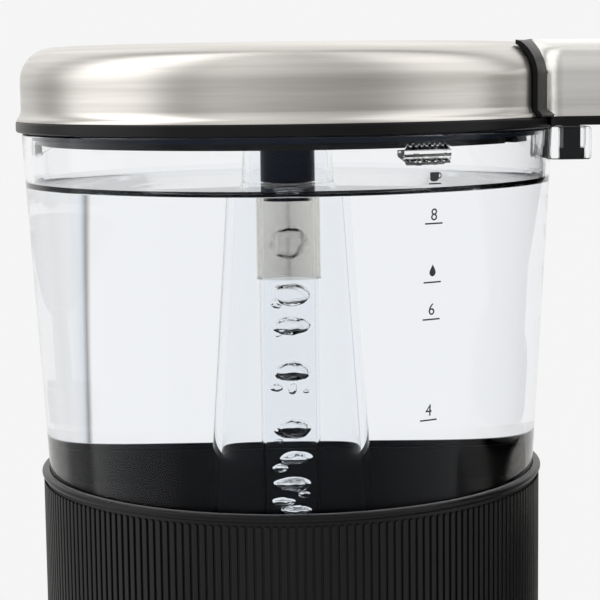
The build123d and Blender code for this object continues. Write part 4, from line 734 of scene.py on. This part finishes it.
smoothed(tank, 30)
fitted(tank, clear_plastic, "clear_plastic", "machine", "tank")

# The cup marks: black ink printed on the outside of the tank, to the right of the front. Plain numbers stand
# over short bars, a plain cup sign heads the column, and a small drop sits over the bar for the usual fill.
ink = finish("black_ink", (0.01, 0.01, 0.011), (0.018, 0.018, 0.019), 0.45, 0.6, 4000, 0.1)
marks_bearing, marks_lift, ink_t, marks_r = radians(29.9), 0.00003, 0.00002, 0.0665
lid_edge_z = 0.2600
figure_h, capital_share = 0.0026, 0.69
bar_w, bar_h, cup_bar_w, cup_bar_h = 0.0048, 0.00034, 0.0034, 0.00030
cup_w, cup_h, cup_shift, cup_z, cup_round = 0.0024, 0.0020, -0.0002, lid_edge_z - 0.0121, 0.0008
ear_r, ear_wall, ear_x, ear_z, ear_cut_x = 0.00065, 0.00026, 0.0011, lid_edge_z - 0.0119, 0.0010
drop_r, drop_z, drop_tip, drop_reach = 0.00085, lid_edge_z - 0.0331, 0.0010, 0.0011
marks = []
for drop_to, figure in ((-0.0216, "8"), (-0.0425, "6"), (-0.0652, "4")):
    bpy.ops.object.select_all(action="DESELECT")
    bpy.ops.object.text_add(location=(0, 0, 0))
    figure_piece = bpy.context.object
    figure_piece.data.body = figure
    figure_piece.data.align_x = "CENTER"
    figure_piece.data.size = figure_h / capital_share
    bpy.ops.object.convert(target="MESH")
    figure_piece.location = (0, 0, lid_edge_z + drop_to)
    figure_piece.rotation_euler = (pi / 2, 0, 0)
    bpy.ops.object.transform_apply(location=True, rotation=True, scale=True)
    marks.append(figure_piece)
for drop_to, width, height in (
    (-0.0223, bar_w, bar_h),
    (-0.03525, bar_w, bar_h),
    (-0.0435, bar_w, bar_h),
    (-0.0662, bar_w, bar_h),
    (-0.0136, cup_bar_w, cup_bar_h),
):
    bpy.ops.object.select_all(action="DESELECT")
    bpy.ops.mesh.primitive_grid_add(
        x_subdivisions=12,
        y_subdivisions=1,
        size=1,
        rotation=(pi / 2, 0, 0),
        location=(0, 0, lid_edge_z + drop_to),
    )
    bar = bpy.context.object
    bar.scale = (width, height, 1)
    bpy.ops.object.transform_apply(location=True, rotation=True, scale=True)
    marks.append(bar)
bpy.ops.object.select_all(action="DESELECT")
bpy.ops.mesh.primitive_plane_add(size=1, rotation=(pi / 2, 0, 0), location=(cup_shift, 0, cup_z))
cup = bpy.context.object
cup.scale = (cup_w, cup_h, 1)
bpy.ops.object.transform_apply(location=True, rotation=True, scale=True)
bpy.ops.object.mode_set(mode="EDIT")
bpy.ops.mesh.select_all(action="DESELECT")
bpy.ops.object.mode_set(mode="OBJECT")
for corner in cup.data.vertices:
    corner.select = corner.co.z < cup_z
bpy.ops.object.mode_set(mode="EDIT")
bpy.ops.mesh.bevel(offset=cup_round, segments=6, affect="VERTICES")
bpy.ops.object.mode_set(mode="OBJECT")
marks.append(cup)
bpy.ops.object.select_all(action="DESELECT")
bpy.ops.mesh.primitive_circle_add(
    vertices=24, radius=ear_r, fill_type="NGON", rotation=(pi / 2, 0, 0), location=(ear_x, 0, ear_z)
)
ear = bpy.context.object
bpy.ops.object.mode_set(mode="EDIT")
bpy.ops.mesh.select_mode(type="FACE")
bpy.ops.mesh.select_all(action="SELECT")
bpy.ops.mesh.inset(thickness=ear_wall)
bpy.ops.mesh.delete(type="FACE")
bpy.ops.mesh.select_mode(type="VERT")
bpy.ops.mesh.select_all(action="SELECT")
bpy.ops.mesh.bisect(plane_co=(ear_cut_x, 0, 0), plane_no=(1, 0, 0), clear_inner=True)
bpy.ops.object.mode_set(mode="OBJECT")
bpy.ops.object.transform_apply(location=True, rotation=True, scale=True)
marks.append(ear)
bpy.ops.object.select_all(action="DESELECT")
bpy.ops.mesh.primitive_circle_add(
    vertices=32, radius=drop_r, fill_type="NGON", rotation=(pi / 2, 0, 0), location=(0, 0, drop_z)
)
drop = bpy.context.object
bpy.ops.object.transform_apply(location=True, rotation=True, scale=True)
bpy.ops.object.mode_set(mode="EDIT")
bpy.ops.mesh.select_all(action="DESELECT")
bpy.ops.object.mode_set(mode="OBJECT")
top = max(drop.data.vertices, key=lambda corner: corner.co.z)
top.select = True
bpy.ops.object.mode_set(mode="EDIT")
bpy.ops.transform.translate(
    value=(0, 0, drop_tip),
    use_proportional_edit=True,
    proportional_edit_falloff="SHARP",
    proportional_size=drop_reach,
)
bpy.ops.object.mode_set(mode="OBJECT")
marks.append(drop)
bpy.ops.object.select_all(action="DESELECT")
for mark in marks:
    mark.select_set(True)
bpy.context.view_layer.objects.active = marks[0]
bpy.ops.object.join()
print_on = bpy.context.object
print_on.name = "cup_marks"
bpy.ops.object.mode_set(mode="EDIT")
bpy.ops.mesh.select_all(action="SELECT")
bpy.ops.transform.translate(value=(0, -marks_r, 0))
bpy.ops.object.mode_set(mode="OBJECT")
turn = Matrix.Translation((tower_x, 0, 0)) @ Matrix.Rotation(marks_bearing, 4, "Z")
print_on.matrix_world = turn
bpy.ops.object.transform_apply(location=True, rotation=True, scale=True)
hug = print_on.modifiers.new("hug", "SHRINKWRAP")
hug.target = tank
hug.wrap_method = "NEAREST_SURFACEPOINT"
hug.wrap_mode = "ABOVE_SURFACE"
hug.offset = marks_lift
bpy.ops.object.modifier_apply(modifier="hug")
film = print_on.modifiers.new("film", "SOLIDIFY")
film.thickness = ink_t
bpy.ops.object.modifier_apply(modifier="film")
fitted(print_on, ink, "satin_black", "machine")

# The water in the tank, as photographed: it stands at the eight-cup mark and climbs a little at the wall.
# It is contents, not a made piece, and has no solid of its own.
water_z, wall_top_r, wall_top_z, wall_draw = 244.2, 62.5, 257.1, 0.0551
wall_r = wall_top_r - (wall_top_z - water_z) * wall_draw
water_look = clear_moulding("clear_water", (0.985, 0.99, 1.0), 1.33, lines=0.0)
water = turned(
    "tank_water",
    tower_x,
    [
        (0, 145.98), (56.42, 145.98), (wall_r + 0.14, water_z + 1.5), (wall_r - 0.5, water_z + 0.75),
        (wall_r - 1.4, water_z + 0.22), (wall_r - 3.2, water_z), (0, water_z),
    ],
    rounded=[(1, 4.2, 8), (3, 0.3, 3), (4, 0.4, 3), (5, 0.8, 3)],
    steps=288,
)
fitted(water, water_look, "clear_plastic", "machine")

# The riser: a clear tapered guard round a clear tube, with a cream silicone cuff on the tube's top.
# The hot water bubbles up in it; below, a fitting, a seal and a nut hold it in the floor.
# What stands in the water has its index divided by the water's, so that it bends light as it does there.
drowned_plastic = clear_moulding("drowned_plastic", (0.97, 0.98, 0.99), 1.12, lines=0.02)
guard = turned(
    "riser_guard_clear",
    tower_x,
    [(14.8, 146), (18.2, 146), (18.2, 147.6), (16.4, 147.6), (10.9, 252.4), (9.3, 252.4)],
    rounded=[(1, 0.4, 3), (2, 0.4, 3), (4, 0.5, 3), (5, 0.5, 3)],
    steps=128,
)
fitted(guard, drowned_plastic, "clear_plastic", "machine", "riser_guard")
tube = turned(
    "riser_tube_clear",
    tower_x,
    [(4.7, 145.0), (5.5, 145.0), (5.5, 244.1), (4.7, 244.1)],
    rounded=[(2, 0.2, 2), (3, 0.2, 2)],
    steps=96,
)
fitted(tube, drowned_plastic, "clear_plastic", "machine", "riser_tube")
cream_silicone = finish("cream_silicone", (0.925, 0.90, 0.855), (0.945, 0.925, 0.885), 0.02, 0.04, 700, 0.02)
cuff_shader = cream_silicone.node_tree.nodes["Principled BSDF"]
cuff_shader.inputs["Transmission Weight"].default_value = 1
cuff_shader.inputs["IOR"].default_value = 1.06
cuff_shader.inputs["Specular Tint"].default_value = (0.1, 0.1, 0.1, 1)
cuff = turned(
    "riser_cuff",
    tower_x,
    [(5.5, 222.8), (6.0, 222.8), (6.0, 244.1), (5.5, 244.1)],
    rounded=[(1, 0.2, 2), (2, 0.2, 2)],
    steps=96,
)
fitted(cuff, cream_silicone, "cream_silicone", "machine", "riser_sleeve")
grey_silicone = finish("grey_silicone", (0.42, 0.42, 0.41), (0.52, 0.52, 0.5), 0.45, 0.6, 800, 0.15)
dark_silicone = finish(
    "dark_silicone", (0.006, 0.010, 0.022), (0.009, 0.015, 0.032), 0.3, 0.42, 1200, 0.15, shine=0.1
)
as_made("riser_fitting", dark_silicone)
as_made("riser_seal", grey_silicone)
as_made("riser_nut", black_moulding)
as_made("inlet_strainer", satin_black)

# The steam that lifts the water: slugs and strings of bubbles up the tube, as photographed, wobbling and
# flattened. They are contents, like the water. Each has its height, place across, half width and half height.
air_look = clear_moulding("trapped_air", (1.0, 1.0, 1.0), 0.76, lines=0.0)
swell = bpy.data.textures.new("bubble_swell", "CLOUDS")
swell.noise_scale = 0.0034
bubble_deep = 3.6
bubbles = []
for height, across, wide, tall in (
    (231.4, 0.0, 3.9, 4.4), (219.0, 0.2, 4.1, 3.1), (216.3, -2.6, 1.5, 1.0), (211.4, 0.3, 4.1, 2.6),
    (209.0, -2.2, 1.2, 0.7), (200.4, 0.2, 4.0, 2.7), (196.3, -2.6, 1.6, 1.3), (196.0, 0.6, 1.4, 1.7),
    (195.4, 2.8, 1.3, 1.1), (186.3, 0.3, 3.8, 2.8), (183.2, -2.4, 1.4, 1.0), (179.0, 1.0, 3.4, 1.9),
    (176.4, -2.2, 1.7, 1.3), (172.6, 0.2, 3.9, 2.2), (170.0, 2.4, 1.5, 1.2), (168.2, -1.4, 2.6, 1.5),
    (166.0, 0.8, 3.4, 1.8), (161.5, 0.2, 3.4, 2.2), (156.5, -0.4, 3.0, 1.9), (151.5, 0.3, 2.8, 2.0),
):
    bpy.ops.object.select_all(action="DESELECT")
    bpy.ops.mesh.primitive_ico_sphere_add(subdivisions=4, radius=0.001, location=(0, 0, 0))
    bubble = bpy.context.object
    bubble.scale = (wide, min(wide, bubble_deep), tall)
    bubble.location = (tower_x + across / 1000, 0, height / 1000)
    bpy.ops.object.transform_apply(location=True, rotation=True, scale=True)
    wobble = bubble.modifiers.new("wobble", "DISPLACE")
    wobble.texture = swell
    wobble.texture_coords = "LOCAL"
    wobble.strength = 0.0011
    wobble.mid_level = 0.85
    bpy.ops.object.modifier_apply(modifier="wobble")
    bpy.ops.object.shade_smooth()
    bubbles.append(bubble)
for bubble in bubbles:
    bubble.select_set(True)
bpy.context.view_layer.objects.active = bubbles[0]
bpy.ops.object.join()
bubbles[0].name = "tube_bubbles"
fitted(bubbles[0], air_look, "clear_plastic", "machine")

# The heater under the tank: a cast aluminium horseshoe with a sheathed rod in it, on a steel plate,
# with a thermostat, two fuses in woven sleeves, silicone hoses and a check valve.
cast_aluminium = finish(
    "cast_aluminium", (0.42, 0.42, 0.43), (0.58, 0.58, 0.59), 0.5, 0.68, 520, 0.6, metal=1.0, bite=0.08
)
rod_sheath = finish("rod_sheath", (0.24, 0.22, 0.2), (0.36, 0.33, 0.3), 0.35, 0.5, 900, 0.2, metal=1.0)
woven_sleeve = finish(
    "woven_sleeve", (0.66, 0.63, 0.55), (0.8, 0.78, 0.7), 0.7, 0.85, 900, 0.7, stretch=(1, 1, 3), bite=0.1
)
for node, material in (
    ("heater_plate", rolled_steel),
    ("heater_block", cast_aluminium),
    ("heating_rod", rod_sheath),
    ("thermostat", rolled_steel),
    ("thermal_fuses", woven_sleeve),
    ("outlet_hose", grey_silicone),
    ("inlet_hose", grey_silicone),
    ("hose_clamps", screw_zinc),
    ("valve_body", natural_nylon),
    ("valve_ball", rolled_steel),
):
    as_made(node, material)

# The electrics: a lacquered board with a relay behind the button, and the terminal block over the base.
board_lacquer = finish(
    "board_lacquer",
    (0.01, 0.07, 0.03),
    (0.03, 0.16, 0.07),
    0.25,
    0.4,
    300,
    0.5,
    stretch=(1, 1, 4),
    patch=260.0,
    bite=0.03,
)
relay_case = finish("relay_case", (0.02, 0.07, 0.22), (0.03, 0.1, 0.3), 0.3, 0.4, 1500, 0.15)
as_made("control_board", board_lacquer)
as_made("relay", relay_case)
as_made("terminal_block", natural_nylon)

# The lid: a deep-drawn stainless cap, brushed as it turned, with a wide shoulder and a slightly flared foot.
# It snaps over a black ring, which carries the skirt and the gasket that close the tank.
lid_steel = turned(
    "lid_steel",
    tower_x,
    [
        (0, 277.4), (64.5, 277.4), (64.5, 261.7), (65.6, 260.5), (65.6, 260.02), (64.6, 260.02),
        (63.7, 261.9), (63.7, 276.6), (0, 276.6),
    ],
    rounded=[(1, 8.0, 14), (2, 1.0, 4), (3, 0.5, 3), (7, 7.2, 10)],
    steps=288,
)
fitted(lid_steel, tower_steel, "brushed_steel", "head", "lid_cover")
as_made("lid_base", satin_black)
as_made("lid_gasket", dark_silicone)
as_made("head_connector", dark_silicone)

# The arm: a drawn and brushed stainless hood over a black tray. A black saddle closes it against the lid,
# and inside, a welded channel carries the hot water to the shower head.
arm_steel = brushed("arm_steel", None, (0.68, 0.67, 0.65), (0.84, 0.83, 0.81))
as_made("arm_cover", arm_steel)
as_made("arm_end", satin_black)
as_made("arm_tray", satin_black)
as_made("water_channel", natural_nylon)
as_made("shower_head", satin_black)
as_made("shower_gasket", grey_silicone)
as_made("shower_screws", screw_zinc)
as_made("head_screws", screw_zinc)

# The jug: two spun stainless walls with a vacuum between them, a black foot cup, a collar with a pouring
# beak, and a handle held by two screws above and a welded bracket below.
jug_steel = turned(
    "jug_steel",
    stand_x,
    [
        (0, 22.2), (60, 22.2), (60, 158), (42, 172), (42, 185), (41.2, 185), (41.2, 171.6), (59.2, 157.6),
        (59.2, 23), (0, 23),
    ],
    rounded=[(1, 4, 6), (2, 5.9, 10), (3, 2.6, 6), (6, 2.6, 6), (7, 5.6, 10), (8, 3.4, 6)],
    steps=256,
)
fitted(jug_steel, stand_steel, "brushed_steel", "jug", "jug_shell")
for node, material in (
    ("jug_liner", rolled_steel),
    ("liner_neck", rolled_steel),
    ("jug_base", black_moulding),
    ("jug_collar", satin_black),
    ("jug_handle", satin_black),
    ("handle_screws", screw_zinc),
    ("handle_bracket", rolled_steel),
):
    as_made(node, material)

# The filter cone: one black moulding with drip ribs inside, four gussets and two lifting tabs.
as_made("filter_cone", satin_black)
